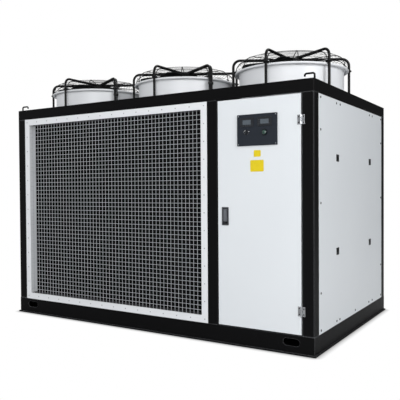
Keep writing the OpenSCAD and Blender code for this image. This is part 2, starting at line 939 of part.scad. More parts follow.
module guard_dome(i) {
  arm_end = leg_r - leg_bend;
  mid = rib_bend - rib_t / 2;
  rib_count = 2 * leg_count;
  color(fan_black) at_fan(i) {
    translate([0, 0, flange_z]) cylinder(r = flange_r, h = flange_t);
    for (k = [0 : leg_count - 1])
      rotate(-90 + k * 360 / leg_count) translate([flange_r / 2, 0, arm_z]) rotate([0, 90, 0])
        cylinder(d = rod_d, h = arm_end - flange_r / 2);
    for (k = [0 : rib_count - 1])
      rotate(-90 + k * 360 / rib_count) translate([0, rib_t / 2, 0]) rotate([90, 0, 0])
        linear_extrude(rib_t) rib_outline();
    for (k = [1 : flat_rings])
      guard_ring(flange_r + k * (rib_flat - flange_r) / flat_rings, rib_top - rib_t / 2);
    for (k = [1 : arc_rings])
      guard_ring(rib_flat + mid * sin(k * 90 / arc_rings),
                 rib_top - rib_bend + mid * cos(k * 90 / arc_rings));
  }
}

module guard_legs(i) {
  color(fan_black) at_fan(i)
    for (k = [0 : leg_count - 1])
      rotate(-90 + k * 360 / leg_count) {
        translate([leg_r, 0, 0]) cylinder(d = rod_d, h = arm_z - leg_bend);
        translate([leg_r, 0, 0]) cylinder(d = foot_d, h = foot_t);
        translate([leg_r - leg_bend, 0, arm_z - leg_bend]) bar_bend(leg_bend, rod_d);
      }
}

base_side_rails();
base_end_rails();
base_pan();
corner_posts();
middle_posts();
roof_edge();
roof_decks();
lifting_hooks();
grille_border_uprights();
grille_border_rails();
mesh_uprights();
mesh_crosswires();
condenser_coil();
plenum_partition();
end_panels();
rear_panels();
panel_latches();
water_sockets();
control_cabinet();
mounting_plate();
hinge_post_leaves();
door();
hinge_door_leaves();
control_panel();
controllers();
displays();
handle_housing();
handle_lever();
selector_knob();
push_button();
for (i = [0 : 2]) {
  fan_shroud(i);
  fan_rotor(i);
  fan_motor(i);
  guard_dome(i);
  guard_legs(i);
}
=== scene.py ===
"""Looks of an air cooled water chiller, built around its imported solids.

Sizes are in metres, in the frame of the solids: X to the right, Y to the back, Z up.
Each class is one sub-assembly; its fields are its sizes and build() makes and dresses it.
"""

import logging
import math
from collections.abc import Iterable, Sequence
from dataclasses import dataclass, replace
from enum import Enum
from typing import Any

import bmesh
import bpy
from mathutils import Matrix, Vector


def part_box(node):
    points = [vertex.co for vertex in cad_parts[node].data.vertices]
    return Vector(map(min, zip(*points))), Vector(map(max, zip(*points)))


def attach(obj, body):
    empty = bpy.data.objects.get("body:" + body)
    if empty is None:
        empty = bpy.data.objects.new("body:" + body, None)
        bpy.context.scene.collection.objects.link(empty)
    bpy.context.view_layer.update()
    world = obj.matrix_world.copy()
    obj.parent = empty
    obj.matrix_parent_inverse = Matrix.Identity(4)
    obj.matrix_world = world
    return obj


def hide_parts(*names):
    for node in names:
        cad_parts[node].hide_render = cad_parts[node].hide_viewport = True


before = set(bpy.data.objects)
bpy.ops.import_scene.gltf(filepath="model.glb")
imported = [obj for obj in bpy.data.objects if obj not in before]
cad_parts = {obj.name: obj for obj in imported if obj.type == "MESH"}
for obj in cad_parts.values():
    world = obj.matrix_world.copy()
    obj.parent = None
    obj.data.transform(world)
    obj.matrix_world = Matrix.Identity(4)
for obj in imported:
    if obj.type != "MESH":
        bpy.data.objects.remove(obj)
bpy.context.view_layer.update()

LOG = logging.getLogger("chiller")
Point = Vector | tuple[float, float, float]
Pair = tuple[float, float]
Outline = tuple[Pair, ...]
Colour = tuple[float, float, float, float]
FRONT = Vector((0.0, -1.0, 0.0))
UP = Vector((0.0, 0.0, 1.0))
WHITE: Colour = (1.0, 1.0, 1.0, 1.0)
MERGE = 1e-6
SHADE_ANGLE = math.radians(38.0)
HEAD_SINK = 0.0004


class Body(Enum):
    """The bodies that pieces ride on."""

    CHASSIS = "chassis"
    DOOR = "door"
    HANDLE = "handle"
    KNOB = "knob"
    BUTTON = "button"
    ROTOR_LEFT = "rotor_left"
    ROTOR_MIDDLE = "rotor_middle"
    ROTOR_RIGHT = "rotor_right"


class FanPlace(Enum):
    """The three fans, left to right."""

    LEFT = "left"
    MIDDLE = "middle"
    RIGHT = "right"


class Facing(Enum):
    """The way that the outside of a closing panel faces, as a turn about Z from -Y."""

    RIGHT = 90.0
    REAR = 180.0
    LEFT = -90.0


# Shaders


def linear(code: str) -> Colour:
    """Turns a colour code into linear light.

    Args:
        code: A colour as #rrggbb.

    Returns:
        Red, green, blue and a full alpha.
    """
    parts = [int(code[i:i + 2], 16) / 255 for i in (1, 3, 5)]
    light = [c / 12.92 if c <= 0.04045 else ((c + 0.055) / 1.055) ** 2.4 for c in parts]
    return (*light, 1.0)


class Signal:
    """A shader socket that takes part in Python arithmetic."""

    def __init__(self, graph: "Graph", socket: bpy.types.NodeSocket) -> None:
        """Keeps the graph and the socket."""
        self.graph = graph
        self.socket = socket

    def _math(self, operation: str, first: Any, second: Any) -> "Signal":
        """Adds a Math node on two signals or numbers and returns its result."""
        return self.graph.node("ShaderNodeMath", {"operation": operation}, {0: first, 1: second})

    def __add__(self, other: Any) -> "Signal":
        """Adds a signal or a number."""
        return self._math("ADD", self, other)

    __radd__ = __add__

    def __sub__(self, other: Any) -> "Signal":
        """Takes a signal or a number away."""
        return self._math("SUBTRACT", self, other)

    def __rsub__(self, other: Any) -> "Signal":
        """Takes this signal away from a number."""
        return self._math("SUBTRACT", other, self)

    def __mul__(self, other: Any) -> "Signal":
        """Multiplies by a signal or a number."""
        return self._math("MULTIPLY", self, other)

    def at_least(self, floor: float) -> "Signal":
        """Cuts the signal off below a number."""
        return self._math("MAXIMUM", self, floor)


class Graph:
    """A node tree that grows by one method."""

    def __init__(self, tree: bpy.types.NodeTree) -> None:
        """Keeps the tree."""
        self.tree = tree

    def feed(self, socket: bpy.types.NodeSocket, value: Any) -> None:
        """Links a signal to a socket, or sets a plain value on it.

        Args:
            socket: The socket to feed.
            value: A signal, number, colour or vector.
        """
        if isinstance(value, Signal):
            self.tree.links.new(value.socket, socket)
        else:
            socket.default_value = value

    def node(self, kind: str, settings: dict[str, Any] | None = None,
             inputs: dict[Any, Any] | None = None, output: int | str = 0) -> Signal:
        """Adds a node.

        Args:
            kind: The node's type.
            settings: Properties, which are set first.
            inputs: Values or signals by socket name or number.
            output: Name or number of the output that is wanted.

        Returns:
            That output.
        """
        made = self.tree.nodes.new(kind)
        for key, value in (settings or {}).items():
            setattr(made, key, value)
        for key, value in (inputs or {}).items():
            self.feed(made.inputs[key], value)
        return Signal(self, made.outputs[output])

    def band(self, signal: Signal, low: float, high: float) -> Signal:
        """Spreads the part of a signal between two levels over 0 to 1."""
        levels = {"Value": signal, "From Min": low, "From Max": high}
        return self.node("ShaderNodeMapRange", {}, levels)


class Shader(Graph):
    """The node tree of one material, on object coordinates."""

    def __init__(self, name: str) -> None:
        """Starts a material.

        Args:
            name: The material's name.
        """
        self.material = bpy.data.materials.new(name)
        self.material.use_nodes = True
        super().__init__(self.material.node_tree)
        self.surface = self.tree.nodes["Principled BSDF"]
        self.place = self.node("ShaderNodeTexCoord", output="Object")

    def set(self, socket: str, value: Any) -> None:
        """Feeds one of the surface's sockets."""
        self.feed(self.surface.inputs[socket], value)

    def clouds(self, scale: float, detail: float, stretch: Point = (1.0, 1.0, 1.0)) -> Signal:
        """Adds soft noise about 0.5, with so many patches a metre."""
        spot = self.node("ShaderNodeMapping", {}, {"Vector": self.place, "Scale": stretch})
        return self.node("ShaderNodeTexNoise", {},
                         {"Vector": spot, "Scale": scale, "Detail": detail})

    def mix(self, share: Any, first: Any, second: Any) -> Signal:
        """Mixes two colours by the second one's share."""
        colours = {0: share, 6: first, 7: second}
        return self.node("ShaderNodeMix", {"data_type": "RGBA"}, colours, 2)

    def edges(self, width: float) -> Signal:
        """Marks edges, for wear and for painted edge highlights.

        Args:
            width: How far the mark reaches from an edge.

        Returns:
            About 0 on flat faces, more at edges.
        """
        soft = self.node("ShaderNodeBevel", {"samples": 4}, {"Radius": width})
        true = self.node("ShaderNodeNewGeometry", output="Normal")
        return 1.0 - self.node("ShaderNodeVectorMath", {"operation": "DOT_PRODUCT"},
                               {0: soft, 1: true}, "Value")

    def upward(self) -> Signal:
        """Marks faces that look up, where dust lies."""
        normal = self.node("ShaderNodeNewGeometry", output="Normal")
        return self.node("ShaderNodeSeparateXYZ", {}, {0: normal}, "Z").at_least(0.0)

    def bump(self, height: Signal, depth: float) -> None:
        """Roughens the surface's normal by a relief of a depth in metres."""
        relief = {"Height": height, "Distance": depth, "Strength": 1.0}
        self.set("Normal", self.node("ShaderNodeBump", {}, relief, "Normal"))


# Finishes


@dataclass(frozen=True)
class Finish:
    """A named finish and the name of the record's slot for it, which this script doesn't fill; its
    kinds say how it is painted.
    """

    name: str
    colour: str
    shade: str
    roughness: float
    slot: str = ""

    def paint(self, shader: Shader) -> None:
        """Paints the finish; each kind has its own way."""
        raise NotImplementedError

    def tones(self, shader: Shader, share: Signal) -> Signal:
        """Mixes the finish's colour with its shade."""
        return shader.mix(share, linear(self.colour), linear(self.shade))

    def material(self) -> bpy.types.Material:
        """Gives the finish's material, made on first use.

        Returns:
            The material.
        """
        found = bpy.data.materials.get(self.name)
        if found is None:
            shader = Shader(self.name)
            self.paint(shader)
            found = shader.material
        return found


@dataclass(frozen=True)
class PowderCoat(Finish):
    """Baked powder paint on steel, with orange peel, worn edges, a painted edge highlight and some
    dust.
    """

    # The colour of worn edges, and of the painted edge highlight.
    wear_and_highlight: str = "#8d9094"
    wear: float = 0.25
    # How much every edge is lightened evenly: a painted highlight, not wear.
    painted_highlight: float = 0.0
    reach: float = 0.005
    dust: float = 0.10
    dust_colour: str = "#b9b2a6"
    peel: float = 0.00006
    wave: float = 0.0
    shine: float = 0.5

    def paint(self, shader: Shader) -> None:
        """Paints the coat, its wear, its painted edge highlight and its relief.

        Args:
            shader: The material's node tree.
        """
        patches = shader.clouds(1.7, 4.0)
        marks = shader.clouds(55.0, 5.0)
        # Painted highlight: an even lightening along every edge in the edge colour, standing in for
        # the lamps' gleam on rounded corners; the patchy share is real wear.
        wear_and_highlight = shader.edges(self.reach) * (shader.band(marks, 0.45, 0.7) * self.wear + self.painted_highlight)
        dust = shader.upward() * shader.band(shader.clouds(9.0, 6.0), 0.3, 0.8) * self.dust
        coat = shader.mix(wear_and_highlight, self.tones(shader, patches), linear(self.wear_and_highlight))
        shader.set("Base Color", shader.mix(dust, coat, linear(self.dust_colour)))
        shader.set("Roughness", self.roughness + (marks - 0.5) * 0.12 + dust * 0.4)
        shader.set("Specular IOR Level", self.shine)
        peel = shader.clouds(380.0, 2.0) * self.peel
        shader.bump(peel + shader.clouds(1.3, 1.0, (1.0, 1.0, 0.5)) * self.wave, 1.0)


@dataclass(frozen=True)
class ZincSheet(Finish):
    """Galvanised sheet with spangles."""

    def paint(self, shader: Shader) -> None:
        """Paints spangles of two greys that shine unequally.

        Args:
            shader: The material's node tree.
        """
        cells = {"Vector": shader.place, "Scale": 70.0}
        spangle = shader.node("ShaderNodeTexVoronoi", {}, cells, "Color")
        tone = shader.node("ShaderNodeSeparateXYZ", {}, {0: spangle}, "X")
        stain = shader.clouds(6.0, 5.0)
        shader.set("Base Color", self.tones(shader, tone * 0.7 + stain * 0.3))
        shader.set("Metallic", 0.85)
        shader.set("Roughness", self.roughness + tone * 0.14 + (stain - 0.5) * 0.1)
        shader.bump(tone, 0.00003)


@dataclass(frozen=True)
class BrightMetal(Finish):
    """Plated or bare metal with fine drawn lines."""

    def paint(self, shader: Shader) -> None:
        """Paints drawn lines and small stains.

        Args:
            shader: The material's node tree.
        """
        drawn = shader.clouds(160.0, 3.0, (1.0, 1.0, 14.0))
        stain = shader.band(shader.clouds(40.0, 4.0), 0.4, 0.8)
        shader.set("Base Color", self.tones(shader, stain))
        shader.set("Metallic", 1.0)
        shader.set("Roughness", self.roughness + (drawn - 0.5) * 0.16 + stain * 0.08)
        shader.bump(drawn, 0.00004)


@dataclass(frozen=True)
class Moulding(Finish):
    """Moulded plastic or rubber with a fine grain."""

    grain: float = 0.00005
    gloss: float = 0.0
    shine: float = 0.35

    def paint(self, shader: Shader) -> None:
        """Paints a grained surface with handling marks.

        Args:
            shader: The material's node tree.
        """
        grain = shader.clouds(900.0, 2.0)
        marks = shader.band(shader.clouds(30.0, 5.0), 0.45, 0.85)
        shader.set("Base Color", self.tones(shader, marks))
        shader.set("Roughness", self.roughness + (grain - 0.5) * 0.1 + marks * 0.1)
        shader.set("Coat Weight", self.gloss)
        shader.set("Specular IOR Level", self.shine)
        shader.bump(grain, self.grain)


@dataclass(frozen=True)
class FinStock(Finish):
    """Coated aluminium fins, with drifts of dust along the air's way."""

    def paint(self, shader: Shader) -> None:
        """Paints the fins, paler where dust has caught.

        Args:
            shader: The material's node tree.
        """
        drift = shader.band(shader.clouds(2.6, 5.0, (1.0, 1.0, 0.6)), 0.42, 0.75)
        fine = shader.clouds(140.0, 3.0, (1.0, 1.0, 6.0))
        shader.set("Base Color", self.tones(shader, drift * fine))
        shader.set("Roughness", self.roughness + (fine - 0.5) * 0.2)
        shader.set("Specular IOR Level", 0.08)
        shader.bump(fine, 0.0002)


@dataclass(frozen=True)
class DisplayGlass(Finish):
    """An unlit display behind a clear window."""

    def paint(self, shader: Shader) -> None:
        """Paints a faint row of cells under a glossy coat.

        Args:
            shader: The material's node tree.
        """
        grid = {"Vector": shader.place, "Scale": 420.0}
        cells = shader.node("ShaderNodeTexChecker", {}, grid, "Fac")
        tint = shader.clouds(25.0, 2.0)
        shader.set("Base Color", self.tones(shader, cells * 0.12 + tint * 0.5))
        shader.set("Roughness", self.roughness + (tint - 0.5) * 0.06)
        shader.set("Coat Weight", 0.6)


FRAME_BLACK = PowderCoat("satin_black_coat", "#0a0a0b", "#0d0d0e", 0.38, "frame_black",
                         wear_and_highlight="#4a4c4f", dust=0.02, shine=0.07)
# The next two coats are the frame black with a painted highlight along every edge; the corner
# posts' coat paints it stronger and wider, for the gleam on their rounded corners.
POST_HIGHLIT_BLACK = replace(FRAME_BLACK, name="post_highlit_black_coat", wear_and_highlight="#707275", painted_highlight=1.3)
CORNER_HIGHLIT_BLACK = replace(POST_HIGHLIT_BLACK, name="corner_highlit_black_coat", painted_highlight=3.0, reach=0.011)
PANEL_WHITE = PowderCoat("panel_white_coat", "#d9dde0", "#d4d8dc", 0.36, "panel_white",
                         wear_and_highlight="#f4f5f5", wear=0.15, dust=0.12, wave=0.0009)
GRILLE_WHITE = PowderCoat("grille_white_coat", "#dfe1e4", "#d9dbde", 0.4, "grille_white",
                          wear_and_highlight="#f6f7f8", wear=0.15, dust=0.15)
SHROUD_WHITE = PowderCoat("shroud_white_coat", "#dcdee1", "#d7d9dc", 0.38, "shroud_white",
                          wear_and_highlight="#f8f8f8", wear=0.1, dust=0.12)
GUARD_BLACK = PowderCoat("guard_black_coat", "#070708", "#0a0a0b", 0.4, "guard_black",
                         wear_and_highlight="#3a3c3e", wear=0.1, dust=0.02, shine=0.15)
FAN_BLACK = Moulding("fan_black_moulding", "#131415", "#1d1e20", 0.48, "fan_black")
MESH_GREY = PowderCoat("mesh_grey_coat", "#b6b9bd", "#abaeb3", 0.45, "mesh_grey",
                       wear_and_highlight="#d5d7d9", wear=0.1, dust=0.05)
FIN_BLACK = FinStock("coil_fin_coating", "#030304", "#0d0e0f", 0.6, "coil_dark")
ZINC = ZincSheet("zinc_sheet", "#aeb2b5", "#c5c9cb", 0.34, "zinc_sheet")
HINGE_METAL = BrightMetal("hinge_plating", "#c6c8cb", "#a4a6aa", 0.2, "hinge_metal")
SOCKET_METAL = BrightMetal("socket_plating", "#c9cbcd", "#a9abad", 0.2, "hinge_metal")
BEZEL_METAL = BrightMetal("bezel_dark_plating", "#4c4f54", "#3a3d42", 0.16, "hinge_metal")
SCREW_STEEL = BrightMetal("screw_steel", "#a4a7ab", "#85888c", 0.3)
SCREW_BLACK = Moulding("screw_black_oxide", "#0c0d0d", "#161717", 0.5)
LATCH_BLACK = Moulding("latch_black_moulding", "#0a0a0b", "#131416", 0.5, "latch_black")
FASCIA_SLATE = PowderCoat("fascia_slate_coat", "#20252d", "#1d222a", 0.45, "fascia_slate",
                          wear_and_highlight="#60656e", wear=0.2, shine=0.25)
CONTROLLER_BLACK = Moulding("controller_black_moulding", "#1a1d22", "#22252b", 0.42,
                            "controller_black")
DISPLAY_GREY = DisplayGlass("display_window", "#444c54", "#545d64", 0.2, "display_grey")
HANDLE_GREY = Moulding("handle_grey_moulding", "#3a3c40", "#45474b", 0.36, "handle_grey")
LEVER_GREY = Moulding("lever_grey_moulding", "#5d6065", "#6a6d72", 0.34, "lever_grey")
BUTTON_GREEN = Moulding("button_green_moulding", "#163a30", "#123128", 0.12, "button_green",
                        gloss=1.0, shine=0.6)
PLATE_YELLOW = Moulding("plate_yellow_film", "#d7c018", "#cfb814", 0.42, grain=0.00002)
RUBBER = Moulding("gasket_rubber", "#191a1a", "#232424", 0.7, grain=0.0001)
DUCT_GREY = Moulding("duct_grey_moulding", "#a5a9ab", "#989c9e", 0.5)
GEAR_PALE = Moulding("switchgear_pale_moulding", "#cfd2d1", "#c2c5c4", 0.44)
GEAR_DARK = Moulding("switchgear_dark_moulding", "#2d3034", "#363a3e", 0.46)
TERMINAL_GREEN = Moulding("terminal_green_moulding", "#5b7d3c", "#4f6f34", 0.46)


# Forms


def edges_of(verts: Iterable[bmesh.types.BMVert]) -> list[bmesh.types.BMEdge]:
    """Returns the edges around some vertices, each once and in a fixed order."""
    return list(dict.fromkeys(edge for vert in verts for edge in vert.link_edges))


def aimed(start: Point, towards: Point) -> Matrix:
    """Returns the matrix that puts the origin at a point, with Z along a direction."""
    turn = Vector(towards).to_track_quat("Z", "Y")
    return Matrix.Translation(start) @ turn.to_matrix().to_4x4()


def about_z(angle: float) -> Matrix:
    """Returns a turn about Z by an angle in radians."""
    return Matrix.Rotation(angle, 4, "Z")


def middle(node: str) -> Vector:
    """Returns the middle of a node's box."""
    low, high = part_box(node)
    return (low + high) / 2


class Form:
    """A mesh in the making, shaped by bmesh operators."""

    def __init__(self) -> None:
        """Starts an empty mesh."""
        self.mesh: bmesh.types.BMesh = bmesh.new()

    @classmethod
    def of_node(cls, node: str) -> "Form":
        """Copies a node of the solids, merged and with its flat faces whole.

        Args:
            node: The node's name.

        Returns:
            The copy.
        """
        form = cls()
        mesh = form.mesh
        mesh.from_mesh(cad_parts[node].data)
        bmesh.ops.remove_doubles(mesh, verts=mesh.verts, dist=MERGE)
        bmesh.ops.dissolve_limit(mesh, angle_limit=math.radians(0.3), verts=mesh.verts,
                                 edges=mesh.edges, use_dissolve_boundaries=False)
        return form

    def bevel(self, edges: Sequence[bmesh.types.BMEdge], width: float, segments: int) -> "Form":
        """Rounds edges by so many faces and returns this form."""
        bmesh.ops.bevel(self.mesh, geom=list(edges), offset=width, offset_type="OFFSET",
                        segments=segments, profile=0.5, affect="EDGES", clamp_overlap=True,
                        material=-1)
        return self

    def softened(self, width: float, sharp: float = 40.0) -> "Form":
        """Rounds every sharp edge.

        Args:
            width: How far the rounding reaches.
            sharp: The least angle of a sharp edge in degrees.

        Returns:
            This form.
        """
        self.mesh.normal_update()
        limit = math.radians(sharp)
        hard = [edge for edge in self.mesh.edges
                if len(edge.link_faces) == 2 and edge.calc_face_angle(0.0) > limit]
        return self.bevel(hard, width, 2)

    def block(self, low: Point, high: Point, edge: float = 0.0, segments: int = 1) -> "Form":
        """Adds a block.

        Args:
            low: Its lowest corner.
            high: Its highest corner.
            edge: Rounding of its edges.
            segments: Faces of that rounding.

        Returns:
            This form.
        """
        first, last = Vector(low), Vector(high)
        place = Matrix.Translation((first + last) / 2) @ Matrix.Diagonal((*(last - first), 1.0))
        verts = bmesh.ops.create_cube(self.mesh, size=1.0, matrix=place)["verts"]
        if edge:
            self.bevel(edges_of(verts), edge, segments)
        return self

    def plate(self, low: Point, high: Point, corner: float) -> "Form":
        """Adds an upright plate along X and Z with rounded corners.

        Args:
            low: Its lowest corner.
            high: Its highest corner.
            corner: Radius of its corners.

        Returns:
            This form.
        """
        made = Form().block(low, high)
        across = [edge for edge in made.mesh.edges
                  if abs(edge.verts[0].co.y - edge.verts[1].co.y) > MERGE]
        return self.add(made.bevel(across, corner, 6))

    def rod(self, start: Point, end: Point, radius: float, sides: int = 8) -> "Form":
        """Adds a round bar.

        Args:
            start: Middle of its first end.
            end: Middle of its last end.
            radius: Its radius.
            sides: Faces around it.

        Returns:
            This form.
        """
        first, last = Vector(start), Vector(end)
        line = last - first
        bmesh.ops.create_cone(self.mesh, cap_ends=True, cap_tris=False, segments=sides,
                              radius1=radius, radius2=radius, depth=line.length,
                              matrix=aimed((first + last) / 2, line))
        return self

    def turned(self, profile: Sequence[Pair], place: Matrix = Matrix(), steps: int = 24,
               closed: bool = False) -> "Form":
        """Adds a turned shape.

        Args:
            profile: Radius and height of each point of its outline.
            place: Where it goes, with its axis along Z.
            steps: Faces around it.
            closed: Whether the outline is a loop, as on a ring.

        Returns:
            This form.
        """
        made = Form()
        mesh = made.mesh
        verts = [mesh.verts.new((r, 0.0, z)) for r, z in profile]
        pairs = list(zip(verts, verts[1:])) + ([(verts[-1], verts[0])] if closed else [])
        edges = [mesh.edges.new(pair) for pair in pairs]
        bmesh.ops.spin(mesh, geom=verts + edges, cent=(0, 0, 0), axis=UP, dvec=(0, 0, 0),
                       angle=math.tau, steps=steps, use_merge=True, use_duplicate=False)
        bmesh.ops.remove_doubles(mesh, verts=mesh.verts, dist=MERGE)
        return self.add(made, place)

    def tray(self, low: Point, high: Point, rim: float, depth: float, edge: float) -> "Form":
        """Adds a block whose front, towards -Y, is sunk inside a rim.

        Args:
            low: Its lowest corner.
            high: Its highest corner.
            rim: Width of the rim.
            depth: How far the front is sunk.
            edge: Rounding of its edges.

        Returns:
            This form.
        """
        made = Form().block(low, high)
        made.mesh.normal_update()
        front = [face for face in made.mesh.faces if face.normal.y < -0.5]
        bmesh.ops.inset_region(made.mesh, faces=front, thickness=rim, depth=0.0,
                               use_even_offset=True)
        moved = bmesh.ops.extrude_discrete_faces(made.mesh, faces=front)["faces"]
        sunk = [vert for face in moved for vert in face.verts]
        bmesh.ops.translate(made.mesh, vec=(0.0, depth, 0.0), verts=sunk)
        return self.add(made.softened(edge))

    def add(self, other: "Form", *places: Matrix) -> "Form":
        """Adds copies of another form, which is used up.

        Args:
            other: The form to copy.
            places: Where the copies go; where it is, if there are none.

        Returns:
            This form.
        """
        stamp = bpy.data.meshes.new("stamp")
        bmesh.ops.recalc_face_normals(other.mesh, faces=other.mesh.faces)
        other.mesh.to_mesh(stamp)
        other.mesh.free()
        for place in places or (Matrix(),):
            copy = stamp.copy()
            copy.transform(place)
            self.mesh.from_mesh(copy)
            bpy.data.meshes.remove(copy)
        bpy.data.meshes.remove(stamp)
        return self

    def piece(self, name: str, finish: Finish, body: Body = Body.CHASSIS,
              replaces: Sequence[str] = (), slot: str = "") -> None:
        """Makes the form a piece of the chiller.

        Args:
            name: The piece's name.
            finish: Its finish.
            body: The body that it rides on.
            replaces: Nodes of the solids that it stands for.
            slot: The record's material slot, where it isn't the finish's own; not used.
        """
        data = bpy.data.meshes.new(name)
        self.mesh.to_mesh(data)
        self.mesh.free()
        data.shade_smooth()
        data.set_sharp_from_angle(angle=SHADE_ANGLE)
        data.materials.append(finish.material())
        made = bpy.data.objects.new(name, data)
        bpy.context.scene.collection.objects.link(made)
        made.modifiers.new("even_shading", "WEIGHTED_NORMAL").keep_sharp = True
        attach(made, body.value)
        if replaces:
            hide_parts(*replaces)
        LOG.info("%s on %s, %d faces", name, body.value, len(data.polygons))


class Pipe:
    """A round bar that is drawn on by runs and quarter bends."""

    def __init__(self, start: Point, heading: Point, radius: float, sides: int) -> None:
        """Starts the bar with a closed end.

        Args:
            start: Middle of its first end.
            heading: The way it sets out.
            radius: Its radius.
            sides: Faces around it.
        """
        self.form = Form()
        self.tip = Vector(start)
        self.heading = Vector(heading).normalized()
        verts = bmesh.ops.create_circle(self.form.mesh, cap_ends=True, segments=sides,
                                        radius=radius, matrix=aimed(start, heading))["verts"]
        self.ring: list[bmesh.types.BMEdge] = edges_of(verts)

    def _open_edges(self, made: Sequence[Any]) -> list[bmesh.types.BMEdge]:
        """Returns the open edges among new geometry."""
        return [part for part in made if isinstance(part, bmesh.types.BMEdge) and part.is_boundary]

    def run(self, length: float) -> "Pipe":
        """Goes straight on.

        Args:
            length: How far.

        Returns:
            This bar.
        """
        made = bmesh.ops.extrude_edge_only(self.form.mesh, edges=self.ring)["geom"]
        verts = [part for part in made if isinstance(part, bmesh.types.BMVert)]
        bmesh.ops.translate(self.form.mesh, vec=self.heading * length, verts=verts)
        self.ring = self._open_edges(made)
        self.tip = self.tip + self.heading * length
        return self

    def bend(self, towards: Point, radius: float, steps: int = 6) -> "Pipe":
        """Goes on round a quarter bend.

        Args:
            towards: The way from the bar to the bend's middle, square to the bar.
            radius: Radius of the bend.
            steps: Faces along it.

        Returns:
            This bar.
        """
        side = Vector(towards).normalized()
        axis = self.heading.cross(side)
        centre = self.tip + side * radius
        angle = math.radians(90.0)
        verts = list(dict.fromkeys(vert for edge in self.ring for vert in edge.verts))
        made = bmesh.ops.spin(self.form.mesh, geom=verts + self.ring, cent=centre, axis=axis,
                              dvec=(0, 0, 0), angle=angle, steps=steps, use_merge=False,
                              use_duplicate=False)["geom_last"]
        self.ring = self._open_edges(made)
        swing = Matrix.Rotation(angle, 3, axis)
        self.tip = centre + swing @ (self.tip - centre)
        self.heading = swing @ self.heading
        return self

    def end(self) -> Form:
        """Closes the bar and returns its form."""
        bmesh.ops.edgeloop_fill(self.form.mesh, edges=self.ring)
        return self.form


def soft_copy(node: str, finish: Finish, edge: float, body: Body = Body.CHASSIS) -> None:
    """Replaces a node of the solids by a copy with rounded edges.

    Args:
        node: The node's name.
        finish: Its finish.
        edge: Rounding of its edges, 0 for a node that is round already.
        body: The body that it rides on.
    """
    form = Form.of_node(node)
    if edge:
        form.softened(edge)
    form.piece(node + "_dressed", finish, body, [node])


def coat(node: str, finish: Finish) -> None:
    """Gives a node of the solids a better material.

    Args:
        node: The node's name.
        finish: Its finish.
    """
    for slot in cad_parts[node].material_slots:
        slot.material = finish.material()
    LOG.info("%s coated with %s", node, finish.name)


def pan_screw(radius: float, height: float) -> Form:
    """Returns a low screw head that stands along Z."""
    outline = [(radius, -HEAD_SINK), (radius, 0.3 * height), (0.7 * radius, 0.85 * height),
               (0.35 * radius, height), (0.3 * radius, 0.45 * height), (0.0, 0.4 * height)]
    return Form().turned(outline, steps=10)


def hex_bolt(radius: float, height: float) -> Form:
    """Returns a six-sided bolt head on a washer, standing along Z."""
    form = Form().rod(UP * -HEAD_SINK, UP * height / 4, 1.25 * radius, 14)
    return form.rod(UP * height / 4, UP * height, radius, 6)


def on_front(head: Form, spots: Iterable[Point]) -> Form:
    """Returns copies of a screw head, seated on faces that look to the front."""
    return Form().add(head, *[aimed(spot, FRONT) for spot in spots])


# Sub-assemblies


@dataclass
class SteelFrame:
    """The black base, posts, roof and lifting hooks."""

    edge: float = 0.0014
    post: float = 0.080
    bead: float = 0.0018
    bead_inset: float = 0.007
    hook_bar: float = 0.006
    hook_foot: Pair = (1.304, -0.765)
    # Which nodes take which coat; the rails and posts take blacks with painted edge highlights,
    # strongest on the corner posts.
    coats: tuple[tuple[Finish, tuple[str, ...]], ...] = (
        (FRAME_BLACK, ("roof_edge", "roof_decks")),
        (POST_HIGHLIT_BLACK, ("base_side_rails", "base_end_rails", "middle_posts")),
        (CORNER_HIGHLIT_BLACK, ("corner_posts",)),
    )

    def build(self) -> None:
        """Softens the steel and adds the weld beads."""
        for finish, nodes in self.coats:
            for node in nodes:
                soft_copy(node, finish, self.edge)
        soft_copy("lifting_hooks", FRAME_BLACK, 0.0)
        coat("base_pan", ZINC)
        coat("plenum_partition", ZINC)
        self.welds()

    def welds(self) -> None:
        """Lays the beads at the hooks' feet and along the posts' ends."""
        low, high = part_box("corner_posts")
        joint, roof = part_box("roof_edge")[0].z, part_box("roof_decks")[1].z
        inner = self.hook_bar - 0.001
        outline = [(inner, 0.0), (inner + 0.005, 0.0), (inner + 0.004, 0.003), (inner, 0.005)]
        ring = Form().turned(outline, steps=14, closed=True)
        x, y = self.hook_foot
        form = Form().add(ring, *[Matrix.Translation((side * x, y, roof)) for side in (-1, 1)])
        first, last = self.bead_inset, self.post - self.bead_inset
        fronts = (low.x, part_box("middle_posts")[1].x - self.post, high.x - self.post)
        for z in (low.z, joint):
            for start in fronts:
                form.rod((start + first, low.y, z), (start + last, low.y, z), self.bead)
            for face in (low.x, high.x):
                for start in (low.y, high.y - self.post):
                    form.rod((face, start + first, z), (face, start + last, z), self.bead)
        form.piece("frame_welds", POST_HIGHLIT_BLACK)


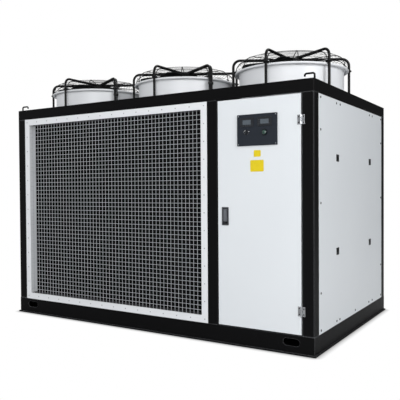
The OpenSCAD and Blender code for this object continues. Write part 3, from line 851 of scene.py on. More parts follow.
@dataclass
class GrilleSide:
    """The white grille frame, its screws, black strips that paint shade in its recess, and the
    welded mesh.
    """

    edge: float = 0.0009
    wire: float = 0.003
    pitch: float = 0.032
    border: float = 0.025
    across: int = 16
    upright: int = 11
    screw: Pair = (0.0045, 0.0022)
    # Thickness of the black strips that paint shade in the recess.
    seal: float = 0.002
    shade_strip_sink: float = 0.0002
    shade_strip_gap: float = 0.001
    shade_strip_edge: float = 0.0008

    def build(self) -> None:
        """Builds the border, the screws, the strips of painted shade and both layers of wires."""
        for node in ("grille_border_uprights", "grille_border_rails"):
            soft_copy(node, GRILLE_WHITE, self.edge)
        self.screws()
        self.shade_strips()
        self.wires("mesh_uprights", True)
        self.wires("mesh_crosswires", False)

    def screws(self) -> None:
        """Sets the row of screws around the border."""
        low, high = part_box("grille_border_uprights")
        left, right = low.x + self.border, high.x - self.border
        foot, top = low.z + self.border, high.z - self.border
        spots = [(left + (right - left) * i / (self.across - 1), low.y, z)
                 for i in range(self.across) for z in (foot, top)]
        spots += [(x, low.y, foot + (top - foot) * i / (self.upright + 1))
                  for i in range(1, self.upright + 1) for x in (left, right)]
        on_front(pan_screw(*self.screw), spots).piece("grille_screws", SCREW_STEEL)

    def shade_strips(self) -> None:
        """Lays black rubber strips along the top and the foot of the recess, as painted shade under
        the top return and along the foot.
        """
        low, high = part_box("mesh_crosswires")
        left, right = low.x + self.shade_strip_gap, high.x - self.shade_strip_gap
        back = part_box("condenser_coil")[0].y - self.shade_strip_gap
        foot, top = (corner.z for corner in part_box("mesh_uprights"))
        form = Form()
        for start, end in ((top - self.seal, top + self.shade_strip_sink),
                           (foot - self.shade_strip_sink, foot + self.seal)):
            form.block((left, high.y, start), (right, back, end), self.shade_strip_edge)
        form.piece("grille_shade_strips", RUBBER)

    def wires(self, node: str, stands: bool) -> None:
        """Makes one layer of parallel wires.

        Args:
            node: The node of the solids that the layer stands for.
            stands: Whether its wires stand upright.
        """
        low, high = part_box(node)
        half = self.wire / 2
        depth = high.y - half if stands else low.y + half
        first, last = (low.x, high.x) if stands else (low.z, high.z)
        room = (high.y - low.y) / 2
        count = round((last - first) / self.pitch)
        form = Form()
        for i in range(count + 1):
            at = first + room + i * (last - first - 2 * room) / count
            if stands:
                form.rod((at, depth, low.z), (at, depth, high.z), half)
            else:
                form.rod((low.x, depth, at), (high.x, depth, at), half)
        form.piece(node + "_wires", MESH_GREY, replaces=[node])


@dataclass
class CondenserCoil:
    """The finned coil behind the grille."""

    pitch: float = 0.004
    fin: float = 0.0006
    depth: float = 0.0055
    sunk: float = 0.0005
    margin: float = 0.001

    def build(self) -> None:
        """Copies the coil and sets fine fins between its thick ones."""
        soft_copy("condenser_coil", FIN_BLACK, 0.0)
        low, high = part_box("condenser_coil")
        front, foot, top = low.y + self.sunk, low.z + self.margin, high.z - self.margin
        form = Form()
        for i in range(1, int((high.x - low.x) / self.pitch)):
            x = low.x + i * self.pitch
            form.block((x, front, foot), (x + self.fin, front + self.depth, top))
        form.piece("coil_fine_fins", FIN_BLACK)


@dataclass
class ClosingPanels:
    """The white end and rear panels with their latches and screws."""

    edge: float = 0.0016
    latch: float = 0.047
    latch_proud: float = 0.003
    latch_rim: float = 0.005
    latch_sunk: float = 0.0012
    latch_edge: float = 0.0008
    latch_plug: float = 0.0386
    latch_depth: float = 0.025
    latch_key: Pair = (0.0064, 0.0034)
    latch_barrel: Outline = ((0.0115, 0.0), (0.0115, 0.0030), (0.0105, 0.0036), (0.0075, 0.0036),
                             (0.0070, 0.0010), (0.0, 0.0010))
    latch_heights: Pair = (0.610, 1.232)
    end_latch: float = 0.379
    rear_inset: float = 0.130
    post: float = 0.080
    rear_post: Pair = (-0.380, -0.300)
    screw: Pair = (0.0080, 0.0028)
    screw_inset: float = 0.022
    rear_screws: tuple[float, ...] = (1.594, 1.397, 0.945, 0.386, 0.1445)
    end_screws: tuple[Pair, ...] = (
        (-0.693, 1.597), (-0.693, 1.397), (-0.693, 0.940), (-0.693, 0.376), (-0.693, 0.143),
        (-0.397, 1.594), (-0.322, 1.594), (0.371, 1.594), (0.450, 1.594),
        (-0.397, 0.1445), (-0.336, 0.1445), (0.007, 0.1445), (0.353, 0.1445), (0.446, 0.1445),
        (0.700, 1.594), (0.700, 1.397), (0.700, 0.950), (0.700, 0.396), (0.700, 0.1445))

    def build(self) -> None:
        """Builds the panels, the latches and the screws."""
        for node in ("end_panels", "rear_panels"):
            soft_copy(node, PANEL_WHITE, self.edge)
        latches = self.latch_places()
        cases = Form().add(self.latch_case(), *latches)
        cases.piece("panel_latch_cases", LATCH_BLACK, replaces=["panel_latches"])
        barrels = Form().add(self.latch_core(), *latches)
        barrels.piece("panel_latch_barrels", SCREW_BLACK, slot=LATCH_BLACK.slot)
        screws = Form().add(pan_screw(*self.screw), *self.screw_places())
        screws.piece("panel_screws", SCREW_BLACK)

    def site(self, facing: Facing, along: float, height: float) -> Matrix:
        """Places a fitting on the outside of a panel.

        Args:
            facing: The way the panel faces.
            along: X on the rear, Y on an end.
            height: Height above the floor.

        Returns:
            A placing matrix with the fitting's front towards -Y.
        """
        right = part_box("end_panels")[1].x
        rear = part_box("rear_panels")[1].y
        spot = {Facing.RIGHT: (right, along), Facing.LEFT: (-right, along),
                Facing.REAR: (along, rear)}[facing]
        return Matrix.Translation((*spot, height)) @ about_z(math.radians(facing.value))

    def sites(self, ends: Iterable[Pair], rear: Iterable[Pair]) -> list[Matrix]:
        """Places fittings on both ends, which are alike, and on the rear.

        Args:
            ends: Y and height of each fitting on an end.
            rear: X and height of each fitting on the rear.

        Returns:
            The placing matrices.
        """
        both = [self.site(facing, *spot) for facing in (Facing.RIGHT, Facing.LEFT)
                for spot in ends]
        return both + [self.site(Facing.REAR, *spot) for spot in rear]

    def rear_bays(self) -> list[Pair]:
        """Returns the start and end of each rear panel along X."""
        low, high, post = *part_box("rear_panels"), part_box("middle_posts")[1].x
        return [(low.x, self.rear_post[0]), (self.rear_post[1], post - self.post), (post, high.x)]

    def latch_places(self) -> list[Matrix]:
        """Places the latches, two pairs to a panel.

        Returns:
            The places of all latches.
        """
        inset = self.rear_inset
        ends = [(y, z) for y in (-self.end_latch, self.end_latch) for z in self.latch_heights]
        rear = [(x, z) for start, end in self.rear_bays() for x in (start + inset, end - inset)
                for z in self.latch_heights]
        return self.sites(ends, rear)

    def screw_places(self) -> list[Matrix]:
        """Places the panel screws.

        Returns:
            The places of all screws, which stand along Z.
        """
        inset, heights = self.screw_inset, self.rear_screws
        rear = [(x, z) for start, end in self.rear_bays() for x in (start + inset, end - inset)
                for z in heights]
        rear += [((start + end) / 2, z) for start, end in self.rear_bays()
                 for z in (heights[0], heights[-1])]
        stand = Matrix.Rotation(math.radians(90.0), 4, "X")
        return [place @ stand for place in self.sites(self.end_screws, rear)]

    def latch_case(self) -> Form:
        """Makes a latch's square case, its front towards -Y.

        Returns:
            The case.
        """
        half, plug = self.latch / 2, self.latch_plug / 2
        form = Form().tray((-half, -self.latch_proud, -half), (half, HEAD_SINK, half),
                           self.latch_rim, self.latch_sunk, self.latch_edge)
        return form.block((-plug, 0.0, -plug), (plug, self.latch_depth, plug))

    def latch_core(self) -> Form:
        """Makes a latch's round barrel with its square key.

        Returns:
            The barrel.
        """
        form = Form().turned(self.latch_barrel, aimed((0.0, 0.0, 0.0), FRONT), 20)
        half, proud = self.latch_key[0] / 2, self.latch_key[1]
        return form.block((-half, -proud, -half), (half, 0.0, half), 0.0006)


@dataclass
class FanUnit:
    """One fan: shroud, rotor, motor and wire guard, drawn about Z with its foot at 0."""

    place: FanPlace
    throat: float = 0.370
    wall: float = 0.003
    height: float = 0.165
    bell: float = 0.027
    roll: float = 0.008
    foot: float = 0.391
    rod: float = 0.0095
    rod_top: float = 0.260
    leg_reach: float = 0.416
    leg_bend: float = 0.050
    leg_foot: Outline = ((0.0, 0.0), (0.020, 0.0), (0.020, 0.004), (0.019, 0.005),
                         (0.0130, 0.005), (0.0100, 0.009), (0.0, 0.009))
    boss: float = 0.055
    boss_height: float = 0.006
    flange: float = 0.100
    flange_low: float = 0.240
    flange_thick: float = 0.016
    rib: float = 0.003
    rib_reach: float = 0.397
    rib_bend: float = 0.077
    rib_level: float = 0.250
    ring: float = 0.0011
    ring_pitch: float = 0.025
    clamp_low: float = 0.1635
    clamp_top: float = 0.1785
    clamp_span: Pair = (0.393, 0.4275)
    clamp_half: float = 0.014
    lug_reach: float = 0.0055
    lug_half: float = 0.006
    lug_inset: float = 0.0025
    clip_span: Pair = (0.391, 0.4035)
    clip_half: float = 0.007
    foot_screw: Pair = (0.0045, 0.003)
    foot_screws: float = 0.383
    foot_turn: float = 0.13
    flange_bolt: Pair = (0.0055, 0.0065)
    flange_bolts: float = 0.078
    clamp_bolt: Pair = (0.0045, 0.005)
    clamp_bolts: Pair = (0.4, 0.0095)
    motor: float = 0.085
    motor_low: float = 0.223
    motor_fin: float = 0.0028
    motor_fins: int = 36
    shaft: float = 0.014
    shaft_low: float = 0.162
    rotor_edge: float = 0.0014
    legs: int = 6
    conduit: float = 0.0055
    conduit_aside: float = 0.0165
    conduit_bend: float = 0.025
    conduit_tail: float = 0.055
    conduit_stop: float = 0.118
    conduit_drop: float = 0.012
    gland: float = 0.0085
    gland_span: Pair = (0.014, -0.012)
    strap: float = 0.0115
    strap_span: Pair = (-0.0105, 0.0245)
    straps: Pair = (0.060, 0.120)

    def build(self) -> None:
        """Builds the fan's pieces on the roof and its rotor."""
        self.shroud()
        self.rods()
        self.rings()
        self.clamps()
        self.motor_body()
        self.fixings()
        if self.place is not FanPlace.RIGHT:
            self.conduit_run()
        rotor = "fan_rotor_" + self.place.value
        form = Form.of_node(rotor).softened(self.rotor_edge, 50.0)
        form.piece(rotor + "_dressed", FAN_BLACK, Body("rotor_" + self.place.value), [rotor])

    def put(self, form: Form, name: str, finish: Finish, node: str = "") -> None:
        """Makes a form a piece of this fan, on the fan's place on the roof.

        Args:
            form: The form about the fan's axis.
            name: The piece's name without the fan's place.
            finish: Its finish.
            node: The node that it stands for, if any, without the fan's place.
        """
        tag = "_" + self.place.value
        low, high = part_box("fan_shroud" + tag)
        site = Matrix.Translation(((low.x + high.x) / 2, (low.y + high.y) / 2, low.z))
        nodes = [node + tag] if node else []
        Form().add(form, site).piece(name + tag, finish, replaces=nodes)

    def angles(self, count: int) -> list[float]:
        """Returns evenly spaced angles in radians, the first towards the front."""
        return [math.tau * i / count - math.pi / 2 for i in range(count)]

    def ways(self, count: int) -> list[Vector]:
        """Returns evenly spaced directions, the first towards the front."""
        return [Vector((math.cos(a), math.sin(a), 0.0)) for a in self.angles(count)]

    def around(self, count: int, spot: Point, turn: float = 0.0) -> list[Matrix]:
        """Returns evenly spaced places about the axis, turned on by an angle."""
        return [about_z(a + turn) @ Matrix.Translation(spot) for a in self.angles(count)]

    def arc(self, centre: Pair, radius: float, start: float, end: float, count: int) -> list[Pair]:
        """Returns points of an outline on an arc between two angles in degrees."""
        turns = [math.radians(start + (end - start) * i / count) for i in range(count + 1)]
        return [(centre[0] + radius * math.cos(t), centre[1] + radius * math.sin(t)) for t in turns]

    def shroud(self) -> None:
        """Makes the shroud with its bell mouth, rolled rim and foot flange."""
        flare = (self.throat + self.bell, self.height - self.bell)
        rim = (self.throat + self.bell, self.height - self.roll)
        outline = [(self.throat, 0.0)]
        outline += self.arc(flare, self.bell, 180, 96, 6)
        outline += self.arc(rim, self.roll, 90, -205, 12)
        outline += self.arc(flare, self.bell - self.wall, 110, 180, 5)
        outline += [(self.throat + self.wall, 0.006), (self.throat + 0.006, self.wall),
                    (self.foot - 0.001, self.wall), (self.foot, 0.002), (self.foot, 0.0)]
        form = Form().turned(outline, steps=96, closed=True)
        self.put(form, "fan_shroud_wall", SHROUD_WHITE, "fan_shroud")

    def rods(self) -> None:
        """Makes the thick rods: leg, bend and arm in one, on round feet."""
        form = Form()
        for out in self.ways(self.legs):
            bar = Pipe(out * self.leg_reach, UP, self.rod, 12)
            bar.run(self.rod_top - self.leg_bend).bend(-out, self.leg_bend, 7)
            form.add(bar.run(self.leg_reach - self.leg_bend - self.flange / 2).end())
            form.turned(self.leg_foot, Matrix.Translation(out * self.leg_reach), 20)
        self.put(form, "guard_rods", GUARD_BLACK, "guard_legs")

    def rings(self) -> None:
        """Makes the thin ribs, the rings on them and the middle flange."""
        form = Form()
        straight = self.rib_level - self.rib_bend - self.height
        flat = self.rib_reach - self.rib_bend
        overlap = 0.004
        for out in self.ways(2 * self.legs):
            bar = Pipe(out * self.rib_reach + UP * self.height, UP, self.rib, 8)
            bar.run(straight).bend(-out, self.rib_bend, 8)
            form.add(bar.run(flat - self.flange + overlap).end())
        count = round((flat - self.flange) / self.ring_pitch)
        places = [(self.flange + (flat - self.flange) * i / count, self.rib_level)
                  for i in range(1, count + 1)]
        places += self.arc((flat, self.rib_level - self.rib_bend), self.rib_bend, 72, 0, 4)
        for place in places:
            form.turned(self.arc(place, self.ring, 0, 288, 4), steps=72, closed=True)
        base, top = self.flange_low, self.flange_low + self.flange_thick
        outer, inner, crest = self.flange, self.flange - 0.001, top + self.boss_height
        disc = [(0.0, base), (inner, base), (outer, base + 0.001), (outer, top - 0.001),
                (inner, top), (self.boss, top), (self.boss - 0.003, crest), (0.0, crest)]
        self.put(form.turned(disc, steps=48), "guard_rings", GUARD_BLACK, "guard_dome")

    def clamps(self) -> None:
        """Makes the clamps that hold the rods and ribs to the rim."""
        origin = (0.0, 0.0, 0.0)
        low, top = self.clamp_low, self.clamp_top
        inner, outer = self.clamp_span
        half, lug = self.clamp_half, self.lug_half
        clamp = Form().block((inner, -half, low), (outer, half, top), 0.002, 2)
        clamp.block((outer, -lug, low + self.lug_inset),
                    (outer + self.lug_reach, lug, top - self.lug_inset), 0.0012)
        form = Form().add(clamp, *self.around(self.legs, origin))
        (inner, outer), half = self.clip_span, self.clip_half
        clip = Form().block((inner, -half, low), (outer, half, top - 0.006), 0.0014)
        form.add(clip, *self.around(self.legs, origin, math.pi / self.legs))
        self.put(form, "guard_clamps", GUARD_BLACK)

    def motor_body(self) -> None:
        """Makes the flat motor: ribbed case, end shield and shaft."""
        low, high = self.motor_low, self.flange_low
        core = self.motor - 0.006
        case = [(0.0, low), (core - 0.003, low), (core, low + 0.003), (core, high - 0.004),
                (self.motor, high - 0.003), (self.motor, high), (0.0, high)]
        shaft = [(0.0, self.shaft_low), (self.shaft, self.shaft_low), (self.shaft, low), (0.0, low)]
        form = Form().turned(case, steps=40).turned(shaft, steps=20)
        half = self.motor_fin / 2
        fin = Form().block((core - 0.002, -half, low + 0.003), (self.motor, half, high - 0.0035))
        turns = [about_z(math.tau * i / self.motor_fins) for i in range(self.motor_fins)]
        self.put(form.add(fin, *turns), "fan_motor_body", FAN_BLACK, "fan_motor")

    def fixings(self) -> None:
        """Sets the bolts on the foot flange, the clamps and the middle flange."""
        top = self.flange_low + self.flange_thick
        seats = self.around(2 * self.legs, (self.foot_screws, 0.0, self.wall), self.foot_turn)
        form = Form().add(pan_screw(*self.foot_screw), *seats)
        spots = self.around(self.legs, (self.flange_bolts, 0.0, top), math.pi / self.legs)
        form.add(hex_bolt(*self.flange_bolt), *spots)
        reach, aside = self.clamp_bolts
        holds = [place for side in (-aside, aside)
                 for place in self.around(self.legs, (reach, side, self.clamp_top))]
        self.put(form.add(hex_bolt(*self.clamp_bolt), *holds), "fan_fixings", SCREW_STEEL)

    def conduit_run(self) -> None:
        """Makes the motor's conduit, up beside one leg and along its arm, with its straps."""
        out = self.ways(self.legs)[1]
        side = Vector((-out.y, out.x, 0.0))
        inside = 0.004
        bend, first = self.leg_bend - inside, self.conduit_bend
        beside = out * (self.leg_reach + 0.001) + side * self.conduit_aside
        start = beside + side * self.conduit_tail + UP * self.gland
        bar = Pipe(start, -side, self.conduit, 10)
        bar.run(self.conduit_tail - first).bend(UP, first)
        bar.run(self.rod_top - inside - bend - first - self.gland).bend(-out, bend)
        bar.run(self.leg_reach - bend - self.conduit_stop).bend(-UP, self.conduit_drop, 4)
        form = Form().add(bar.run(self.conduit_drop).end())
        form.rod(*[start + side * end for end in self.gland_span], self.gland, 12)
        for z in self.straps:
            spot = out * self.leg_reach + UP * z
            form.rod(*[spot + side * end for end in self.strap_span], self.strap, 12)
        self.put(form, "motor_conduit", RUBBER)


@dataclass
class ControlDoor:
    """The cabinet door with its hinges, gasket and blank plates."""

    edge: float = 0.0018
    skin: float = 0.002
    hinge_edge: float = 0.0007
    hinge_heights: Pair = (0.273, 1.453)
    hinge_axis: float = 1.232
    hinge_front: float = -0.808
    hinge_screw: Pair = (0.0045, 0.0014)
    hinge_screw_x: float = 0.0155
    hinge_screw_z: float = 0.018
    gasket: float = 0.012
    gasket_inset: float = 0.016
    gasket_back: float = 0.012
    gasket_edge: float = 0.003
    stiffener_feet: Pair = (0.30, 0.99)
    stiffener_insets: Pair = (0.12, 0.06)
    stiffener_back: float = 0.020
    stiffener_height: float = 0.045
    stiffener_edge: float = 0.002
    plate_proud: float = 0.0012
    plate_sink: float = 0.0002
    plates: tuple[tuple[Pair, Pair, float], ...] = (
        ((0.883, 1.141), (0.978, 1.215), 0.007), ((0.908, 1.236), (0.957, 1.278), 0.006))

    def build(self) -> None:
        """Builds the door, its gasket and what hangs it."""
        soft_copy("door", PANEL_WHITE, self.edge, Body.DOOR)
        soft_copy("hinge_door_leaves", HINGE_METAL, self.hinge_edge, Body.DOOR)
        soft_copy("hinge_post_leaves", HINGE_METAL, self.hinge_edge)
        self.hinge_screws("hinge_door_screws", -1, Body.DOOR)
        self.hinge_screws("hinge_post_screws", 1, Body.CHASSIS)
        self.seal()
        self.stiffeners()
        self.blank_plates()

    def hinge_screws(self, name: str, side: int, body: Body) -> None:
        """Sets the screws of one leaf of each hinge.

        Args:
            name: The piece's name.
            side: -1 for the door's leaves, 1 for the post's.
            body: The body that the leaves ride on.
        """
        x = self.hinge_axis + side * self.hinge_screw_x
        spots = [(x, self.hinge_front, z + dz) for z in self.hinge_heights
                 for dz in (-self.hinge_screw_z, self.hinge_screw_z)]
        on_front(pan_screw(*self.hinge_screw), spots).piece(name, SCREW_BLACK, body)

    def seal(self) -> None:
        """Lays the gasket on the door's inner face."""
        low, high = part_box("door")
        front, back = low.y + self.skin, low.y + self.gasket_back
        inset, w, edge = self.gasket_inset, self.gasket, self.gasket_edge
        left, right, foot, top = low.x + inset, high.x - inset, low.z + inset, high.z - inset
        form = Form()
        for x in (left, right - w):
            form.block((x, front, foot), (x + w, back, top), edge, 2)
        for z in (foot, top - w):
            form.block((left + w, front, z), (right - w, back, z + w), edge, 2)
        form.piece("door_gasket", RUBBER, Body.DOOR)

    def stiffeners(self) -> None:
        """Sets the folded stiffeners inside the door."""
        low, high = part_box("door")
        left, right = low.x + self.stiffener_insets[0], high.x - self.stiffener_insets[1]
        front, back = low.y + self.skin, low.y + self.stiffener_back
        form = Form()
        for foot in self.stiffener_feet:
            z = low.z + foot
            top = z + self.stiffener_height
            form.block((left, front, z), (right, back, top), self.stiffener_edge, 2)
        form.piece("door_stiffeners", PANEL_WHITE, Body.DOOR)

    def blank_plates(self) -> None:
        """Sets the two plain yellow plates."""
        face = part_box("door")[0].y
        front, back = face - self.plate_proud, face + self.plate_sink
        form = Form()
        for (left, foot), (right, top), corner in self.plates:
            form.plate((left, front, foot), (right, back, top), corner)
        form.piece("door_blank_plates", PLATE_YELLOW, Body.DOOR)


@dataclass
class ControlPanel:
    """The slate control panel with its controllers, knob and button."""

    edge: float = 0.0009
    corner: float = 0.010
    screw: Pair = (0.0042, 0.002)
    case_width: float = 0.100
    display: Pair = (0.058, 0.030)
    display_edge: float = 0.0004
    lip: float = 0.002
    lip_gap: float = 0.0004
    lip_edge: float = 0.0004
    key: Pair = (0.0095, 0.0055)
    key_edge: float = 0.0008
    key_proud: float = 0.0002
    knob_radius: float = 0.015
    knob_height: float = 0.018
    grip: Pair = (0.007, 0.027)
    line_half: float = 0.0007
    line_span: Pair = (0.002, 0.0115)
    ring: Outline = ((0.0160, 0.0), (0.0178, 0.0), (0.0176, 0.0012), (0.0169, 0.0019),
                     (0.0160, 0.0016))
    collar: Outline = ((0.0147, 0.0002), (0.0205, 0.0002), (0.0202, 0.0040), (0.0188, 0.0066),
                       (0.0158, 0.0068), (0.0147, 0.0058))
    crown: Outline = ((0.0, 0.0), (0.0135, 0.0), (0.0140, 0.0006), (0.0140, 0.0038),
                      (0.0132, 0.0051), (0.0108, 0.0063), (0.0074, 0.0072), (0.0037, 0.0077),
                      (0.0, 0.0079))
    crown_seat: float = 0.008
    stem: float = 0.006
    stem_front: float = 0.004
    knob_stem: float = 0.004
    key_row: Pair = (0.021, 0.0045)
    key_row_pitch: float = 0.0155
    key_column: Pair = (0.006, 0.011)
    key_column_pitch: float = 0.0135
    back_depth: float = 0.055
    switch_back: Point = (0.030, 0.038, 0.040)
    neck: Pair = (0.013, 0.006)
    steps: int = 36

    def build(self) -> None:
        """Builds the panel and everything that is set into it."""
        soft_copy("control_panel", FASCIA_SLATE, self.edge, Body.DOOR)
        soft_copy("displays", DISPLAY_GREY, self.display_edge, Body.DOOR)
        self.controllers()
        self.keys()
        self.screws()
        self.collars()
        self.backs()
        self.knob()
        self.button()

    def face(self) -> float:
        """Returns the Y of the panel's face."""
        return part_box("controllers")[1].y

    def cases(self) -> list[tuple[Vector, Vector]]:
        """Gives the two controllers' boxes.

        Returns:
            The lowest and highest corner of each.
        """
        low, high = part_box("controllers")
        left = Vector((low.x + self.case_width, high.y, high.z))
        right = Vector((high.x - self.case_width, low.y, low.z))
        return [(low, left), (right, high)]

    def controllers(self) -> None:
        """Makes the controllers' cases with a sunk window."""
        form = Form()
        wide, tall = self.display[0] / 2, self.display[1] / 2
        gap, lip = self.lip_gap, self.lip
        for low, high in self.cases():
            form.tray(low, high, rim=0.003, depth=0.0008, edge=0.0006)
            spot = (low + high) / 2
            foot, top = spot.z - tall - gap - lip, spot.z + tall + gap
            for x in (spot.x - wide - gap - lip, spot.x + wide + gap):
                form.block((x, low.y, foot), (x + lip, high.y, top + lip), self.lip_edge)
            for z in (foot, top):
                form.block((spot.x - wide, low.y, z), (spot.x + wide, high.y, z + lip),
                           self.lip_edge)
        form.piece("controller_cases", CONTROLLER_BLACK, Body.DOOR, ["controllers"])

    def keys(self) -> None:
        """Makes the controllers' keys, in a row on one and a column on the other."""
        (row, high), (column, _) = self.cases()
        wide, tall = self.key
        front, back = row.y - self.key_proud, high.y
        x, z = row.x + self.key_row[0], row.z + self.key_row[1]
        spots = [(x + i * self.key_row_pitch, z) for i in range(4)]
        x, z = column.x + self.key_column[0], column.z + self.key_column[1]
        spots += [(x, z + i * self.key_column_pitch) for i in range(3)]
        form = Form()
        for x, z in spots:
            form.block((x, front, z), (x + wide, back, z + tall), self.key_edge, 2)
        form.piece("controller_keys", GEAR_DARK, Body.DOOR, slot=CONTROLLER_BLACK.slot)

    def screws(self) -> None:
        """Sets the panel's four corner screws."""
        low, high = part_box("control_panel")
        spots = [(x, self.face(), z) for x in (low.x + self.corner, high.x - self.corner)
                 for z in (low.z + self.corner, high.z - self.corner)]
        screws = on_front(pan_screw(*self.screw), spots)
        screws.piece("control_panel_screws", SCREW_STEEL, Body.DOOR)

    def collars(self) -> None:
        """Makes the bright ring round the knob and the dark collar round the button."""
        for name, node, outline, finish in (
                ("selector_ring", "selector_knob", self.ring, SOCKET_METAL),
                ("button_collar", "push_button", self.collar, BEZEL_METAL)):
            spot = middle(node)
            place = aimed((spot.x, self.face(), spot.z), FRONT)
            Form().turned(outline, place, self.steps, True).piece(name, finish, Body.DOOR)

    def backs(self) -> None:
        """Makes the instruments' backs inside the door."""
        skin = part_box("door")[0].y + 0.002
        form = Form()
        for low, high in self.cases():
            form.block((low.x + 0.005, skin, low.z + 0.004),
                       (high.x - 0.005, skin + self.back_depth, high.z - 0.004), 0.002, 2)
        wide, deep, tall = self.switch_back
        radius, length = self.neck
        for node in ("selector_knob", "push_button"):
            spot = middle(node)
            spot.y = skin + length
            form.block(spot - Vector((wide / 2, 0.0, tall / 2)),
                       spot + Vector((wide / 2, deep, tall / 2)), 0.002, 2)
            form.rod(spot + FRONT * length, spot, radius, 20)
        form.piece("instrument_backs", GEAR_DARK, Body.DOOR)

    def knob(self) -> None:
        """Makes the selector's round base and grip, and the pale line on the grip."""
        low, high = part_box("selector_knob")
        x, _, z = (low + high) / 2
        front, face, r = low.y, low.y + self.knob_height, self.knob_radius
        base = [(0.0, 0.0), (r - 0.001, 0.0), (r, 0.001), (r, 0.0045), (r - 0.0012, 0.006),
                (0.0, 0.006)]
        form = Form().turned(base, aimed((x, face, z), FRONT), self.steps)
        form.rod((x, face, z), (x, high.y, z), self.knob_stem, 16)
        half, reach = self.grip[0] / 2, self.grip[1] / 2
        form.block((x - half, front, z - reach), (x + half, face - 0.005, z + reach), 0.0014, 2)
        form.piece("selector_grip", CONTROLLER_BLACK, Body.KNOB, ["selector_knob"])
        half, (foot, top) = self.line_half, self.line_span
        line = Form().block((x - half, front - 0.0002, z + foot),
                            (x + half, front + 0.002, z + top), 0.0002)
        line.piece("selector_pointer", GEAR_PALE, Body.KNOB)

    def button(self) -> None:
        """Makes the button's crowned cap and its stem."""
        low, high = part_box("push_button")
        x, _, z = (low + high) / 2
        seat = aimed((x, low.y + self.crown_seat, z), FRONT)
        form = Form().turned(self.crown, seat, self.steps)
        form.rod((x, low.y + self.stem_front, z), (x, high.y, z), self.stem, 16)
        form.piece("button_cap", BUTTON_GREEN, Body.BUTTON, ["push_button"])


@dataclass
class LiftHandle:
    """The flush handle with its lever and lock."""

    housing_edge: float = 0.0012
    lever_edge: float = 0.0011
    lock: float = 0.0066
    lock_spot: Point = (0.005, -0.004, 0.0175)

    def build(self) -> None:
        """Builds the housing, the lever and the lock."""
        soft_copy("handle_housing", HANDLE_GREY, self.housing_edge, Body.DOOR)
        soft_copy("handle_lever", LEVER_GREY, self.lever_edge, Body.HANDLE)
        self.barrel()

    def barrel(self) -> None:
        """Makes the lock's barrel with its key slot."""
        low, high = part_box("handle_housing")
        spot = Vector(((low.x + high.x) / 2, high.y, low.z)) + Vector(self.lock_spot)
        r = self.lock
        outline = [(0.0, 0.0), (r, 0.0), (r, 0.0125), (r - 0.0008, 0.0134), (0.0028, 0.0134),
                   (0.0028, 0.0100), (0.0, 0.0100)]
        lock = Form().turned(outline, aimed(spot, FRONT), 24)
        lock.piece("handle_lock", SCREW_BLACK, Body.DOOR)


class Gear(Enum):
    """The pieces that the switchgear is sorted into, with their finishes."""

    PALE = ("switchgear_cases", GEAR_PALE)
    DARK = ("switchgear_fronts", GEAR_DARK)
    GREEN = ("earth_terminals", TERMINAL_GREEN)


@dataclass(frozen=True)
class Brick:
    """A block of a device, from its left edge, ahead of its rail and above the rail's middle."""

    gear: Gear
    across: Pair
    ahead: Pair
    above: Pair
    edge: float = 0.001
    segments: int = 1


@dataclass(frozen=True)
class DeviceRow:
    """Like devices side by side on one rail."""

    rail: int
    start: float
    bricks: tuple[Brick, ...]
    count: int = 1
    pitch: float = 0.0


BREAKER = (Brick(Gear.PALE, (0.0, 0.0174), (0.050, 0.0), (-0.042, 0.042)),
           Brick(Gear.PALE, (0.0, 0.0174), (0.064, 0.048), (-0.022, 0.022)),
           Brick(Gear.DARK, (0.004, 0.0134), (0.074, 0.062), (-0.002, 0.009), 0.0015))
CONTACTOR = (Brick(Gear.DARK, (0.0, 0.046), (0.075, 0.0), (-0.040, 0.042), 0.002, 2),
             Brick(Gear.PALE, (0.008, 0.038), (0.084, 0.074), (-0.016, 0.018), 0.0015),
             Brick(Gear.DARK, (0.018, 0.028), (0.088, 0.083), (-0.006, 0.008)),
             Brick(Gear.PALE, (0.001, 0.045), (0.062, 0.004), (-0.092, -0.041), 0.002, 2),
             Brick(Gear.DARK, (0.026, 0.036), (0.065, 0.061), (-0.072, -0.060), 0.0008))
CONTROL_UNIT = (Brick(Gear.PALE, (0.0, 0.140), (0.058, 0.0), (-0.055, 0.055), 0.003, 2),
                Brick(Gear.DARK, (0.012, 0.128), (0.061, 0.056), (-0.020, 0.020)),
                Brick(Gear.DARK, (0.008, 0.132), (0.063, 0.056), (-0.048, -0.036)),
                Brick(Gear.DARK, (0.008, 0.132), (0.063, 0.056), (0.036, 0.048)))
SUPPLY = (Brick(Gear.DARK, (0.0, 0.060), (0.090, 0.0), (-0.060, 0.060), 0.002, 2),)
RELAY = (Brick(Gear.PALE, (0.0, 0.0155), (0.058, 0.0), (-0.040, 0.040)),
         Brick(Gear.DARK, (0.002, 0.0135), (0.066, 0.057), (-0.014, 0.016), 0.0008))
END_CLAMP = (Brick(Gear.DARK, (0.0, 0.009), (0.030, 0.0), (-0.026, 0.026)),)
TERMINAL = (Brick(Gear.PALE, (0.0, 0.0057), (0.034, 0.0), (-0.028, 0.028), 0.0005),
            Brick(Gear.PALE, (0.0, 0.0057), (0.044, 0.033), (-0.014, 0.014), 0.0005))
EARTH_TERMINAL = tuple(replace(brick, gear=Gear.GREEN) for brick in TERMINAL)


